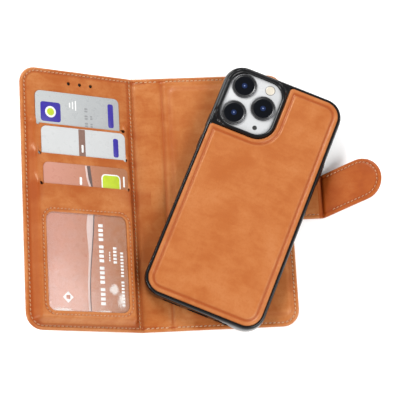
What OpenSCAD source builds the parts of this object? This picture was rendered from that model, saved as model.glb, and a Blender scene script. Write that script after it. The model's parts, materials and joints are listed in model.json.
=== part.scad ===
// Phone wallet case, lying open: a folio with card pockets on the left, a magnet panel on the
// right, a closure strap, and the detachable inner case with its phone resting on the folio.
// Origin: centre of the back panel's outer face. X to the strap, Y to the top edge, Z up.

/* [Folio] */
// Height of the folio along the spine
folio_h = 153.5; // [150:0.5:165]
// Width of the back panel, from its crease to its free edge
back_w = 74; // [72:0.5:80]
// Width of the spine between its two creases
spine_w = 18; // [16:0.5:22]
// Width of the cover, from its crease to its free edge
cover_w = 73; // [72:0.5:80]
// Radius of the folio's outer corners
corner_r = 10; // [5:0.5:12]
// Angle at which the cover stands up from the table
cover_tilt = 27; // [0:1:35]

/* [Leather and boards] */
// Thickness of the outer leather
outer_t = 0.8; // [0.6:0.1:1.2]
// Thickness of the stiffening boards
board_t = 1.2; // [0.8:0.1:1.6]
// Thickness of the lining over the boards
lining_t = 0.6; // [0.4:0.1:0.8]
// Thickness of the raised pad over the magnets
pad_t = 0.6; // [0.4:0.1:1]
// Thickness of the pocket leather
pocket_t = 0.6; // [0.5:0.1:0.8]
// Gap left bare on each side of a crease
crease_gap = 1; // [0.6:0.1:1.5]

/* [Cards] */
// Width of a bank card, across the cover
card_w = 54; // [54:0.5:54]
// Length of a bank card, along the pocket
card_l = 85.6; // [85.6:0.1:85.6]
// Thickness of a bank card
card_t = 0.76; // [0.7:0.02:0.8]
// Length of card showing above the first mouth
card_1_show = 19.7; // [12:0.1:24]
// Length of card showing above the second mouth
card_2_show = 16.4; // [12:0.1:20]
// Length of card showing above the third mouth
card_3_show = 12.7; // [8:0.1:16]

/* [Strap] */
// Length of the strap's root, from the back panel to the fold
root_l = 18.5; // [16:0.5:24]
// Width of the strap's root
root_w = 26; // [24:0.5:30]
// Length of the strap's tab, from the fold to its tip
tab_l = 39; // [30:0.5:44]
// Width of the strap's tab
tab_w = 25.2; // [20:0.2:26]
// Angle at which the tab stands up from the fold
tab_lift = 30; // [0:1:45]
// Slant of the tab in its own plane
tab_slant = 15; // [0:1:20]

/* [Inner case] */
// Width of the inner case
case_w = 73.6; // [72:0.2:78]
// Length of the inner case
case_l = 148; // [146:0.5:152]
// Thickness of the inner case over its leather back
case_t = 11.6; // [11:0.1:13]
// Corner radius of the inner case
case_r = 11.5; // [9:0.5:13]
// Angle of the inner case on the open folio
case_turn = -24.6; // [-26:0.1:-20]
// Width of the phone
phone_w = 71.4; // [71.4:0.1:71.4]
// Length of the phone
phone_l = 144; // [144:0.1:144]
// Thickness of the phone without its camera
phone_t = 8.1; // [8.1:0.1:8.1]

/* [Hidden] */
$fn = 48;

half_h = folio_h / 2;
fit = 0.05;                    // clearance between stacked pieces
over = 1;                      // how far a cutter runs past a face

leather = "#cd8250";
leather_dark = "#b4622c";
thread = "#e0a878";
board_grey = "#8a8580";
steel_grey = "#a8aaae";
black = "#161618";

board_z = outer_t;
lining_top = outer_t + board_t + lining_t;
pad_top = lining_top + pad_t;

crease_r_x = -back_w / 2;              // crease between the back panel and the spine
crease_l_x = crease_r_x - spine_w;     // crease between the spine and the cover
crease_z = outer_t;

board_inset = 3;
stitch_l = 2.2;
stitch_w = 0.5;
stitch_h = 0.25;
stitch_pitch = 3.2;
stitch_inset = 2;

// Camera window of the back panel: the docked case is turned over, so its camera is at +X.
cam_plate_w = 32;
cam_plate_l = 34;
cam_plate_r = 9;
cam_x = -16.5;
cam_y = 53.5;
window_margin = 1.4;

speaker_d = 2.2;
speaker_y = 68.7;
speaker_u = [28, 35.2, 42.4];

// Pocket geometry; u runs from the cover's crease towards its free edge.
pocket_u = 36;
slot_w = 57.5;
relief_d = 2.4;
mouth_1_y = 42.7;
mouth_2_y = 24.6;
mouth_3_y = 6.4;
pocket_side = 3.5;             // width of the glued rim at each side of a pocket
card_z = [for (k = [0:2]) lining_top + stitch_h + fit + k * (card_t + pocket_t + 2 * fit)];
card_u = [37.4, 34.9, 34.9];
card_show = [card_1_show, card_2_show, card_3_show];
card_corner = 3.2;
mouths = [mouth_1_y, mouth_2_y, mouth_3_y];
film_t = 0.2;
id_w = 51;
id_top_y = -10;
id_low_y = -66.5;
id_r = 4.5;
panel_low_y = -half_h + 4.7;

magnet_d = 12;
strap_y = -0.3;
root_fold_x = back_w / 2 + crease_gap;
fold_x = back_w / 2 + root_l;
root_lining_top = 2 * outer_t;

case_x = 8.1;
case_y = -0.5;
case_lift_gap = 0.3;
screen_lip_z = 0.9;
phone_z = screen_lip_z;
tpu_back_z = phone_z + phone_t;
leather_z = tpu_back_z + 1;
steel_t = 0.4;
leather_rim = 2;

lens_d = 15;
lens_glass_d = 11.5;
lenses = [[-24.1, 62.4], [-24.1, 44.6], [-8.9, 53.4]];

// A rectangle from corner a to corner b, rounded by r at the corners marked in round:
// [low-left, low-right, top-right, top-left].
module rounded(a, b, r, round = [1, 1, 1, 1]) {
    spots = [[a.x + r, a.y + r], [b.x - r, a.y + r], [b.x - r, b.y - r], [a.x + r, b.y - r]];
    ends = [a, [b.x, a.y], b, [a.x, b.y]];
    polygon([
        for (k = [0:3])
            for (p = round[k] ? arc(spots[k], r, 180 + 90 * k, 270 + 90 * k) : [ends[k]]) p
    ]);
}

function arc(c, r, from, to, steps = 10) =
    [for (i = [0:steps]) c + r * [cos(from + (to - from) * i / steps), sin(from + (to - from) * i / steps)]];

module slab(z0, z1) {
    translate([0, 0, z0]) linear_extrude(z1 - z0) children();
}

// One run of stitches from a to b.
module stitch_run(a, b) {
    length = norm(b - a);
    count = max(1, floor(length / stitch_pitch));
    for (i = [0:count - 1])
        translate(a + (b - a) * (i + 0.5) / count)
            rotate(atan2(b.y - a.y, b.x - a.x))
                square([stitch_l, stitch_w], center = true);
}

// Stitches round a corner of radius r.
module stitch_arc(c, r, from, to) {
    count = max(1, round(r * abs(to - from) * PI / 180 / stitch_pitch));
    for (i = [0:count - 1]) {
        angle = from + (to - from) * (i + 0.5) / count;
        translate(c + r * [cos(angle), sin(angle)])
            rotate(angle + 90)
                square([stitch_l, stitch_w], center = true);
    }
}

// ---- Back panel ----

module camera_window(grow = 0) {
    half = [cam_plate_w, cam_plate_l] / 2 + [window_margin, window_margin] + [grow, grow];
    centre = [-cam_x, cam_y];
    rounded(centre - half, centre + half, cam_plate_r + window_margin);
}

module back_outline(inset = 0) {
    a = [crease_r_x + crease_gap + inset, -half_h + inset];
    b = [back_w / 2 - inset, half_h - inset];
    rounded(a, b, max(corner_r - inset, 1), [0, 1, 1, 0]);
}

module magnet_places() {
    for (x = [-20, 0, 20])
        for (y = [-48, -10])
            translate([x, y]) circle(d = magnet_d);
}

module back_outer() {
    color(leather) slab(0, outer_t) difference() {
        back_outline();
        camera_window();
    }
}

// The board stops short of the camera window, so the corner beyond it is leather only.
module board_area() {
    difference() {
        back_outline(board_inset);
        translate([-cam_x - cam_plate_w / 2, cam_y - cam_plate_l / 2] - [1, 1] * (window_margin + 1))
            square([back_w, folio_h]);
    }
}

module back_board() {
    color(board_grey) slab(board_z, board_z + board_t) difference() {
        board_area();
        magnet_places();
    }
}

module back_magnets() {
    color(steel_grey) slab(board_z, board_z + board_t) magnet_places();
}

module back_lining() {
    color(leather) difference() {
        slab(outer_t, lining_top) difference() {
            back_outline();
            camera_window();
        }
        slab(outer_t - over, board_z + board_t) board_area();
    }
}

module magnet_pad() {
    color("#d89468") slab(lining_top, pad_top) difference() {
        rounded([-32, -69], [32.5, 69.5], 3);
        camera_window(1.2);
    }
}

module back_stitching() {
    x0 = crease_r_x + crease_gap + 1;
    x1 = back_w / 2 - stitch_inset;
    y1 = half_h - stitch_inset;
    r = corner_r - stitch_inset;
    color(thread) slab(lining_top, lining_top + stitch_h) {
        stitch_run([x0, -y1], [x1 - r, -y1]);
        stitch_run([x0, y1], [x1 - r, y1]);
        stitch_run([x1, -y1 + r], [x1, y1 - r]);
        stitch_arc([x1 - r, y1 - r], r, 0, 90);
        stitch_arc([x1 - r, -y1 + r], r, -90, 0);
    }
}

// ---- Spine ----

spine_a = [crease_l_x + crease_gap, -half_h];
spine_b = [crease_r_x - crease_gap, half_h];
spine_board_t = 0.6;
spine_top = outer_t + spine_board_t + lining_t;
spine_inset = [2, 3];

module spine_area(inset = [0, 0]) {
    translate(spine_a + inset) square(spine_b - spine_a - 2 * inset);
}

module spine_outer() {
    color(leather) slab(0, outer_t) spine_area();
}

module spine_board() {
    color(board_grey) slab(outer_t, outer_t + spine_board_t) spine_area(spine_inset);
}

module spine_lining() {
    color(leather) difference() {
        slab(outer_t, spine_top) spine_area();
        slab(outer_t - over, outer_t + spine_board_t) spine_area(spine_inset);
    }
}

module spine_stitching() {
    y = half_h - stitch_inset;
    color(thread) slab(spine_top, spine_top + stitch_h)
        for (side = [-1, 1])
            stitch_run([spine_a.x + 0.5, side * y], [spine_b.x - 0.5, side * y]);
}

// ---- Cover: built flat at -X of its crease, then tilted about the crease ----

module cover_place() {
    translate([crease_l_x, 0, crease_z])
        rotate([0, cover_tilt, 0])
            translate([0, 0, -crease_z]) children();
}

module cover_outline(inset = 0) {
    a = [-cover_w + inset, -half_h + inset];
    b = [-crease_gap - inset, half_h - inset];
    rounded(a, b, max(corner_r - inset, 1), [1, 0, 0, 1]);
}

module speaker_holes(grow = 0) {
    for (u = speaker_u)
        translate([-u, speaker_y]) circle(d = speaker_d + grow);
}

module cover_outer() {
    color(leather) cover_place() slab(0, outer_t) difference() {
        cover_outline();
        speaker_holes();
    }
}

module cover_board() {
    color(board_grey) cover_place() slab(board_z, board_z + board_t) difference() {
        cover_outline(board_inset);
        speaker_holes(1);
    }
}

module cover_lining() {
    color(leather) cover_place() difference() {
        slab(outer_t, lining_top) difference() {
            cover_outline();
            speaker_holes();
        }
        slab(outer_t - over, board_z + board_t) difference() {
            cover_outline(board_inset);
            speaker_holes(1);
        }
    }
}

// A pocket panel of level k between two heights, with a glued rim down both sides.
module pocket_panel(k, y0, y1, closed_low) {
    low_z = card_z[k] + card_t + fit;
    top_z = low_z + pocket_t;
    half = slot_w / 2 + pocket_side;
    slit = slot_w / 2;
    difference() {
        slab(lining_top, top_z)
            translate([-pocket_u - half, y0]) square([2 * half, y1 - y0]);
        slab(lining_top - over, low_z)
            translate([-pocket_u - slit, y0 + (closed_low ? pocket_side : -over)])
                square([2 * slit, y1 - y0 + 2 * over]);
        slab(lining_top - over, top_z + over)
            for (side = [-1, 1])
                translate([-pocket_u + side * (slit - relief_d / 2), y1]) circle(d = relief_d);
    }
}

module pocket_panel_1() {
    color(leather) cover_place()
        pocket_panel(0, mouth_2_y + fit, mouth_1_y, false);
}

module pocket_panel_2() {
    color(leather) cover_place()
        pocket_panel(1, mouth_3_y + fit, mouth_2_y, false);
}

module id_opening(grow = 0) {
    a = [-pocket_u - id_w / 2 - grow, id_low_y - grow];
    b = [-pocket_u + id_w / 2 + grow, id_top_y + grow];
    rounded(a, b, id_r + grow);
}

film_z = card_z[2] + card_t + fit;

module window_panel() {
    color(leather) cover_place() difference() {
        pocket_panel(2, panel_low_y, mouth_3_y, true);
        slab(film_z - over, film_z + pocket_t + over) id_opening();
        slab(film_z - over, film_z + film_t) id_opening(2);
    }
}

module window_film() {
    color([0.85, 0.9, 0.92, 0.3]) cover_place()
        slab(film_z, film_z + film_t) id_opening(2);
}

module cover_stitching() {
    x0 = -cover_w + stitch_inset;
    x1 = -crease_gap - stitch_inset + 0.6;
    y1 = half_h - stitch_inset;
    r = corner_r - stitch_inset;
    color(thread) cover_place() slab(lining_top, lining_top + stitch_h) {
        stitch_run([x0 + r, -y1], [x1, -y1]);
        stitch_run([x0 + r, y1], [x1, y1]);
        stitch_run([x0, -y1 + r], [x0, y1 - r]);
        stitch_run([x1, -y1 + stitch_l], [x1, y1 - stitch_l]);
        stitch_arc([x0 + r, y1 - r], r, 90, 180);
        stitch_arc([x0 + r, -y1 + r], r, 180, 270);
    }
}

module window_stitching() {
    grow = 2;
    r = id_r + grow;
    x0 = -pocket_u - id_w / 2 - grow;
    x1 = -pocket_u + id_w / 2 + grow;
    y0 = id_low_y - grow;
    y1 = id_top_y + grow;
    z = film_z + pocket_t;
    color(thread) cover_place() slab(z, z + stitch_h) {
        stitch_run([x0 + r, y0], [x1 - r, y0]);
        stitch_run([x0 + r, y1], [x1 - r, y1]);
        stitch_run([x0, y0 + r], [x0, y1 - r]);
        stitch_run([x1, y0 + r], [x1, y1 - r]);
        stitch_arc([x1 - r, y1 - r], r, 0, 90);
        stitch_arc([x0 + r, y1 - r], r, 90, 180);
        stitch_arc([x0 + r, y0 + r], r, 180, 270);
        stitch_arc([x1 - r, y0 + r], r, 270, 360);
    }
}

// ---- Cards ----

module card(k, shade) {
    top_y = mouths[k] + card_show[k];
    a = [-card_u[k] - card_w / 2, top_y - card_l];
    b = [-card_u[k] + card_w / 2, top_y];
    color(shade) cover_place()
        slab(card_z[k], card_z[k] + card_t) rounded(a, b, card_corner);
}

module card_1() { card(0, "#b9bfc2"); }
module card_2() { card(1, "#e4e6e8"); }
module card_3() { card(2, "#c98f70"); }

// ---- Closure strap ----

module root_area(inset = 0) {
    x0 = root_fold_x + crease_gap;
    x1 = fold_x - crease_gap;
    translate([x0, strap_y - root_w / 2 + inset]) square([x1 - x0, root_w - 2 * inset]);
}

module strap_root_outer() {
    color(leather) slab(0, outer_t) root_area();
}

module strap_root_lining() {
    color(leather) slab(outer_t, root_lining_top) root_area();
}

module strap_root_stitching() {
    x0 = root_fold_x + crease_gap + 0.6;
    x1 = fold_x - crease_gap - 0.6;
    color(thread) slab(root_lining_top, root_lining_top + stitch_h)
        for (side = [-1, 1])
            stitch_run([x0, strap_y + side * (root_w / 2 - stitch_inset)],
                       [x1, strap_y + side * (root_w / 2 - stitch_inset)]);
}

// The tab is built flat from its fold at x = 0, then lifted about the fold.
module tab_place() {
    translate([fold_x, strap_y, crease_z])
        rotate([0, -tab_lift, 0])
            translate([0, 0, -crease_z]) children();
}

module tab_outline(inset = 0) {
    r = tab_w / 2;
    intersection() {
        rotate(tab_slant) {
            translate([tab_l - r, 0]) circle(r = r - inset);
            translate([-tab_w, -r + inset]) square([tab_l - r + tab_w, 2 * (r - inset)]);
        }
        translate([crease_gap + inset, -tab_l]) square([2 * tab_l, 2 * tab_l]);
    }
}

module tab_magnet_places() {
    rotate(tab_slant)
        for (side = [-1, 1])
            translate([tab_l - tab_w / 2 - 1, side * 5]) circle(d = 8);
}

magnet_t = 1;

module strap_tab_outer() {
    color(leather) tab_place() slab(0, outer_t) tab_outline();
}

module strap_magnets() {
    color(steel_grey) tab_place() slab(outer_t, outer_t + magnet_t) tab_magnet_places();
}

module strap_tab_lining() {
    color(leather_dark) tab_place() difference() {
        slab(outer_t, outer_t + magnet_t + 0.4) tab_outline();
        slab(outer_t - over, outer_t + magnet_t) tab_magnet_places();
    }
}

module strap_tab_stitching() {
    z = outer_t + magnet_t + 0.4;
    r = tab_w / 2;
    y = r - stitch_inset;
    color(thread) tab_place() slab(z, z + stitch_h) rotate(tab_slant) {
        stitch_run([6, y], [tab_l - r, y]);
        stitch_run([3, -y], [tab_l - r, -y]);
        stitch_arc([tab_l - r, 0], y, -90, 90);
    }
}

// ---- Inner case: built face down about its own centre, then placed on the folio ----

module case_place() {
    translate([case_x, case_y, pad_top + case_lift_gap])
        rotate(case_turn) children();
}

module centred(w, l, r) {
    rounded([-w / 2, -l / 2], [w / 2, l / 2], r);
}

module camera_opening(grow = 0) {
    half = [cam_plate_w, cam_plate_l] / 2 + [grow, grow];
    centre = [cam_x, cam_y];
    rounded(centre - half, centre + half, cam_plate_r + grow);
}

phone_gap = 0.05;
phone_r = 10.4;
camera_rim_h = 1.6;

// A slot through the bottom wall between two places along it.
module port(x0, x1, z, h) {
    translate([0, -case_l / 2 + 3, z]) rotate([90, 0, 0]) linear_extrude(6) {
        translate([x0 + h / 2, -h / 2]) square([x1 - x0 - h, h]);
        translate([x0 + h / 2, 0]) circle(d = h);
        translate([x1 - h / 2, 0]) circle(d = h);
    }
}

// A moulded bump over a phone button.
module button_bump(x, y, length) {
    translate([x, y - length / 2, 4.2]) cube([0.7, length, 2.4]);
}

module case_bumper() {
    rim_z = case_t - 0.5;
    color(black) case_place() difference() {
        union() {
            slab(0, rim_z) centred(case_w, case_l, case_r);
            slab(rim_z - 1, case_t + camera_rim_h - 0.8) difference() {
                camera_opening(2.4);
                camera_opening(0.8);
            }
            button_bump(-case_w / 2 - 0.5, 36, 10);
            button_bump(-case_w / 2 - 0.5, 22, 10);
            button_bump(case_w / 2 - 0.2, 30, 16);
        }
        slab(-over, screen_lip_z + over) centred(phone_w - 4, phone_l - 4, phone_r - 2);
        slab(screen_lip_z, tpu_back_z)
            centred(phone_w + 2 * phone_gap, phone_l + 2 * phone_gap, phone_r);
        slab(tpu_back_z - over, case_t + over) camera_opening(0.8);
        slab(leather_z, case_t + over) leather_area(-fit);
        port(-21.6, -10.6, 5.2, 3.2);
        port(-6.5, 6.5, 5.2, 4.6);
        port(10, 18.5, 5.2, 3.2);
    }
}

// The leather back's outline, with the camera corner cut away round the camera.
module leather_area(inset = 0) {
    difference() {
        centred(case_w - 2 * leather_rim - 2 * inset, case_l - 2 * leather_rim - 2 * inset,
                case_r - leather_rim);
        translate([-case_w, 0]) camera_corner(inset);
    }
}

// Everything to the upper left of the camera's clearance line.
module camera_corner(inset = 0) {
    edge = [cam_x + cam_plate_w / 2 + 2.6 + inset, cam_y - cam_plate_l / 2 - 2.6 - inset];
    rounded([0, edge.y], [case_w + edge.x, case_l], cam_plate_r + 2.6, [0, 1, 0, 0]);
}

steel_w = 48;
steel_l = 84;
steel_y = -22;

module case_steel_plate() {
    color(steel_grey) case_place() slab(leather_z, leather_z + steel_t)
        translate([0, steel_y]) centred(steel_w, steel_l, 4);
}

groove_w = 1.4;
border_w = 2.6;

module case_leather_back() {
    color(leather) case_place() difference() {
        slab(leather_z, case_t) leather_area();
        slab(leather_z - over, leather_z + steel_t)
            translate([0, steel_y]) centred(steel_w, steel_l, 4);
        slab(case_t - 0.5, case_t + over) difference() {
            leather_area(border_w);
            leather_area(border_w + groove_w);
        }
    }
}

// ---- Phone, held in the inner case ----

glass_t = 0.8;

module phone_frame() {
    color("#c9ccd0") case_place()
        slab(phone_z + glass_t, phone_z + phone_t - glass_t) centred(phone_w, phone_l, phone_r);
}

module phone_screen() {
    color("#0c0d10") case_place()
        slab(phone_z, phone_z + glass_t) centred(phone_w - 0.4, phone_l - 0.4, phone_r - 0.2);
}

module phone_back_glass() {
    color("#dfe1e2") case_place()
        slab(phone_z + phone_t - glass_t, phone_z + phone_t)
            centred(phone_w - 0.4, phone_l - 0.4, phone_r - 0.2);
}

plate_top = tpu_back_z + 1.3;
ring_top = plate_top + 1.2;

module camera_plate() {
    color("#e6e7e8") case_place() slab(tpu_back_z, plate_top) camera_opening();
}

module lens_rings() {
    color("#c8cace") case_place() slab(plate_top, ring_top)
        for (place = lenses)
            translate(place) difference() {
                circle(d = lens_d);
                circle(d = lens_glass_d);
            }
}

module lens_glasses() {
    color("#101418") case_place() slab(plate_top, ring_top - 0.3)
        for (place = lenses)
            translate(place) circle(d = lens_glass_d);
}

module flash_lens() {
    color("#f3ead0") case_place() slab(plate_top, plate_top + 0.2)
        translate([-8.8, 65.6]) circle(d = 5.6);
}

back_outer();
back_board();
back_magnets();
back_lining();
magnet_pad();
back_stitching();
spine_outer();
spine_board();
spine_lining();
spine_stitching();
cover_outer();
cover_board();
cover_lining();
pocket_panel_1();
pocket_panel_2();
window_panel();
window_film();
cover_stitching();
window_stitching();
card_1();
card_2();
card_3();
strap_root_outer();
strap_root_lining();
strap_root_stitching();
strap_tab_outer();
strap_tab_lining();
strap_magnets();
strap_tab_stitching();
case_bumper();
case_steel_plate();
case_leather_back();
phone_frame();
phone_screen();
phone_back_glass();
camera_plate();
lens_rings();
lens_glasses();
flash_lens();
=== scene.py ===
"""Looks for the open phone wallet case: leather folio, cards, strap and the detached inner case."""

import json
import math
import random

import bmesh
import bpy
import numpy as np
from mathutils import Matrix, Vector
from mathutils.geometry import delaunay_2d_cdt


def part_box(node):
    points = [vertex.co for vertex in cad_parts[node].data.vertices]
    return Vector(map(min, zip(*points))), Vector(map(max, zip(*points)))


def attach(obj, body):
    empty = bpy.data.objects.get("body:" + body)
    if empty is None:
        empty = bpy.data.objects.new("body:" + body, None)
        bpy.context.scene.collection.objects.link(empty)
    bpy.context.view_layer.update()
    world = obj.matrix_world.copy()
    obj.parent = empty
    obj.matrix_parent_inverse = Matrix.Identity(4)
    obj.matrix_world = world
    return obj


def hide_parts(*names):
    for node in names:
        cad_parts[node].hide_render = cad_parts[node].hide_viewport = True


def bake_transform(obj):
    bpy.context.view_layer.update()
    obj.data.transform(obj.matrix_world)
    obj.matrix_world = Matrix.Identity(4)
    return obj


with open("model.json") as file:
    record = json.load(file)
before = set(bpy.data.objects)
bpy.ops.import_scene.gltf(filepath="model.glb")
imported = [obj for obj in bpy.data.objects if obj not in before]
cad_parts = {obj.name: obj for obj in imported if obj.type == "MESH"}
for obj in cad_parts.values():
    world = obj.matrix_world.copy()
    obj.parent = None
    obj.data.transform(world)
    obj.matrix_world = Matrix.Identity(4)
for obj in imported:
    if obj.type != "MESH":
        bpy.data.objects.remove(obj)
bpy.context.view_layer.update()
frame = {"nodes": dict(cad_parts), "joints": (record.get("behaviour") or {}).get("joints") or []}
NODES = frame["nodes"]
MM = 0.001

# ---- Sizes in millimetres, as in the CAD model ----
def fold_at(name):
    """The place of a fold's axis."""
    joint = next(joint for joint in frame["joints"] if joint["name"] == name)
    return [c / MM for c in joint["pos_m"]]


TILT = math.radians(27)            # the cover above the table
TAB_LIFT = math.radians(30)        # the strap's tab above its fold
TAB_SLANT = math.radians(15)       # the tab's slant in its own plane
CASE_TURN = math.radians(-24.6)    # the inner case on the folio
BACK_LOW, BACK_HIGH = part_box("back_outer")
HALF_H = (BACK_HIGH.y - BACK_LOW.y) / 2 / MM
BACK_X1 = BACK_HIGH.x / MM
CREASE_R = fold_at("spine_fold")[0]    # between the back panel and the spine
CREASE_L, _, CREASE_Z = fold_at("cover_fold")
ROOT_FOLD = fold_at("strap_fold")[0]
TAB_FOLD, STRAP_Y, _ = fold_at("tab_fold")
COVER_W = 73.0
COVER_X0 = CREASE_L - COVER_W
CORNER_R = 10.0
LINING_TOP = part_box("back_lining")[1].z / MM
SPINE_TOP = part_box("spine_lining")[1].z / MM
PAD_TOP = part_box("magnet_pad")[1].z / MM
POCKET_T = 0.6                     # a pocket layer
CARD_LIFT = 0.3                    # the first card above the lining
CARD_W, CARD_L, CARD_T, CARD_R = 54.0, 85.6, 0.76, 3.2
LEVEL = CARD_T + POCKET_T + 0.1    # rise from one pocket layer to the next
CARD_Z = [LINING_TOP + CARD_LIFT + LEVEL * k for k in range(3)]
# u is the distance from the cover's crease, across the flat cover
CARD_U = (37.4, 34.9, 34.9)
MOUTHS = (42.7, 24.6, 6.4)         # the Y of each card slit
CARD_SHOW = (19.7, 16.4, 12.7)     # how much of each card shows above its slit
CARD_TOPS = [mouth + show for mouth, show in zip(MOUTHS, CARD_SHOW)]
POCKET_U = 36.0
SLIT_HALF = 28.75
RELIEF_R = 1.2                     # the round end of a slit
ID_Y, ID_W, ID_H, ID_R = -38.25, 51.0, 56.5, 4.5     # the window
OVER_CARD = 0.05                   # clearance above a card
FILM_Z = CARD_Z[2] + CARD_T + OVER_CARD
SPEAKER_U, SPEAKER_Y, SPEAKER_R = (28.0, 35.2, 42.4), 68.7, 1.1     # three round holes
STITCH_IN = 2.3                    # stitching in from the edge
# The phone's camera block, seen from the case's leather side
CAM_X, CAM_Y, CAM_W, CAM_L, CAM_R = -16.5, 53.5, 32.0, 34.0, 9.0
WINDOW_MARGIN = 1.4                # the back panel's window round the camera block
ROOT_W, TAB_W, TAB_L = 26.0, 25.2, 39.0     # the strap
CASE_W, CASE_L, CASE_R, CASE_TOP = 73.6, 148.0, 11.5, 11.6
# Where the case's own origin lies on the folio
CASE_AT = (8.1, -0.5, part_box("phone_screen")[0].z / MM - 0.9)


# ---- Outlines and fields in the plane ----

def arc(cx, cy, r, a0, a1, steps):
    """Points along an arc from a0 to a1 degrees."""
    angles = np.radians(np.linspace(a0, a1, steps + 1))
    return np.stack([cx + r * np.cos(angles), cy + r * np.sin(angles)], 1)


def spaced(points, step):
    """A closed outline resampled so that no edge is longer than step."""
    out = []
    for a, b in zip(points, np.roll(points, -1, 0)):
        length = np.hypot(*(b - a))
        if length < 1e-6:
            continue
        n = max(1, int(math.ceil(length / step)))
        for i in range(n):
            out.append(a + (b - a) * i / n)
    return np.array(out)


def rounded(x0, y0, x1, y1, radii):
    """A rounded rectangle. radii is one radius, or low-left, low-right, top-right and top-left."""
    if not isinstance(radii, tuple):
        radii = (radii,) * 4
    corners = ((x0, y0, 1, 1), (x1, y0, -1, 1), (x1, y1, -1, -1), (x0, y1, 1, -1))
    parts = []
    for k, ((x, y, sx, sy), r) in enumerate(zip(corners, radii)):
        if r:
            steps = max(4, int(r * 1.6))
            parts.append(arc(x + sx * r, y + sy * r, r, 180 + 90 * k, 270 + 90 * k, steps))
        else:
            parts.append(np.array([[x, y]], float))
    return np.concatenate(parts)


def framed(cx, cy, w, h, r, grow=0.0):
    """A rounded rectangle given by its centre and size, then grown all round."""
    return rounded(cx - w / 2 - grow, cy - h / 2 - grow, cx + w / 2 + grow, cy + h / 2 + grow, r + grow)


def circle(cx, cy, r, steps=20):
    """A closed circle."""
    return arc(cx, cy, r, 0, 360, steps)[:-1]


def dumbbell(cx, cy, half, r, slit=0.14):
    """A thin slit with a round hole at each end."""
    a = math.degrees(math.asin(slit / 2 / r))
    right = arc(cx + half - r, cy, r, -180 + a, 180 - a, 18)
    left = arc(cx - half + r, cy, r, a, 360 - a, 18)
    return np.concatenate([right, left])


def smooth(a, b, x):
    """A soft step from 0 at a to 1 at b."""
    t = np.clip((x - a) / (b - a), 0, 1)
    return t * t * (3 - 2 * t)


def bell(x, width):
    """A soft bump of height 1 where x is 0."""
    return np.exp(-(x / width) ** 2)


def pressed_edge(distance, width):
    """1 at an edge, falling to 0 at width."""
    return np.clip(1 - distance / width, 0, 1) ** 2


def groove(distance, width, depth):
    """A soft channel centred where distance is 0."""
    return -depth * bell(distance, width)


def roll(near, r, top, base):
    """Height near an edge that is rounded like a quarter of an ellipse."""
    t = 1 - np.clip(near / r, 0, 1)
    return base + (top - base) * np.sqrt(np.maximum(1 - t * t, 0))


def inward(loop):
    """Unit vectors that point into an outline from each of its points."""
    ahead = np.roll(loop, -1, 0) - np.roll(loop, 1, 0)
    normal = np.stack([-ahead[:, 1], ahead[:, 0]], 1)
    return normal / np.maximum(np.hypot(*normal.T), 1e-9)[:, None]


def edge_distance(p, loop):
    """Distance of each point to a closed outline."""
    a = loop
    d = np.roll(loop, -1, 0) - a
    length2 = np.maximum((d ** 2).sum(1), 1e-12)
    out = np.empty(len(p))
    for i in range(0, len(p), 4000):
        q = p[i:i + 4000, None, :] - a[None]
        t = np.clip((q * d[None]).sum(2) / length2[None], 0, 1)
        out[i:i + 4000] = np.sqrt(((q - t[..., None] * d[None]) ** 2).sum(2)).min(1)
    return out


def inside(p, loop):
    """Which points lie inside a closed outline."""
    result = np.zeros(len(p), bool)
    x, y = p[:, 0], p[:, 1]
    for (x0, y0), (x1, y1) in zip(loop, np.roll(loop, -1, 0)):
        if y0 == y1:
            continue
        crosses = (y0 > y) != (y1 > y)
        result ^= crosses & (x < (x1 - x0) * (y - y0) / (y1 - y0) + x0)
    return result


def signed_distance(p, loop):
    """Distance to an outline, negative outside it."""
    return np.where(inside(p, loop), 1, -1) * edge_distance(p, loop)


def on_sheet(points, loop, holes):
    """Which points lie inside an outline and outside its holes."""
    ok = inside(points, loop)
    for hole in holes:
        ok &= ~inside(points, hole)
    return ok


def noise2(p, scale, seed):
    """Smooth value noise from -1 to 1 on a hashed lattice."""
    q = p / scale
    cell = np.floor(q).astype(int)
    f = q - cell
    f = f * f * (3 - 2 * f)

    def corner(dx, dy):
        h = np.sin((cell[:, 0] + dx) * 127.1 + (cell[:, 1] + dy) * 311.7 + seed * 74.7) * 43758.5453
        return 2 * (h - np.floor(h)) - 1

    low = corner(0, 0) * (1 - f[:, 0]) + corner(1, 0) * f[:, 0]
    high = corner(0, 1) * (1 - f[:, 0]) + corner(1, 1) * f[:, 0]
    return low * (1 - f[:, 1]) + high * f[:, 1]


# ---- Meshes: flat triangulations with a height field, and stacked rings ----

RINGS = (0.25, 0.6, 1.05, 1.5, 1.95, 2.4, 2.85, 3.4, 4.2)    # rows of points, in from the edge
HOLE_RINGS = (0.3, 0.8, 1.5)                                 # and out from each hole
ROW_RISE = 0.866                                             # between rows of an even triangle grid
ROW_CLEAR = 0.93                                             # share of its distance a row keeps elsewhere
GRID_CLEAR, HOLE_CLEAR = 0.45, 0.4                           # grid steps between the last row and the grid
UNDER_COARSER = 2.5                                          # how much coarser a sheet's underside is
FLOOR_STEP = 3.0                                             # point spacing on the floor of a cut


def thinned(points, gap=0.16):
    """The points without those that share a small square with an earlier one."""
    squares = {}
    for p in points:
        squares.setdefault((int(p[0] // gap), int(p[1] // gap)), tuple(p))
    return list(squares.values())


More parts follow.
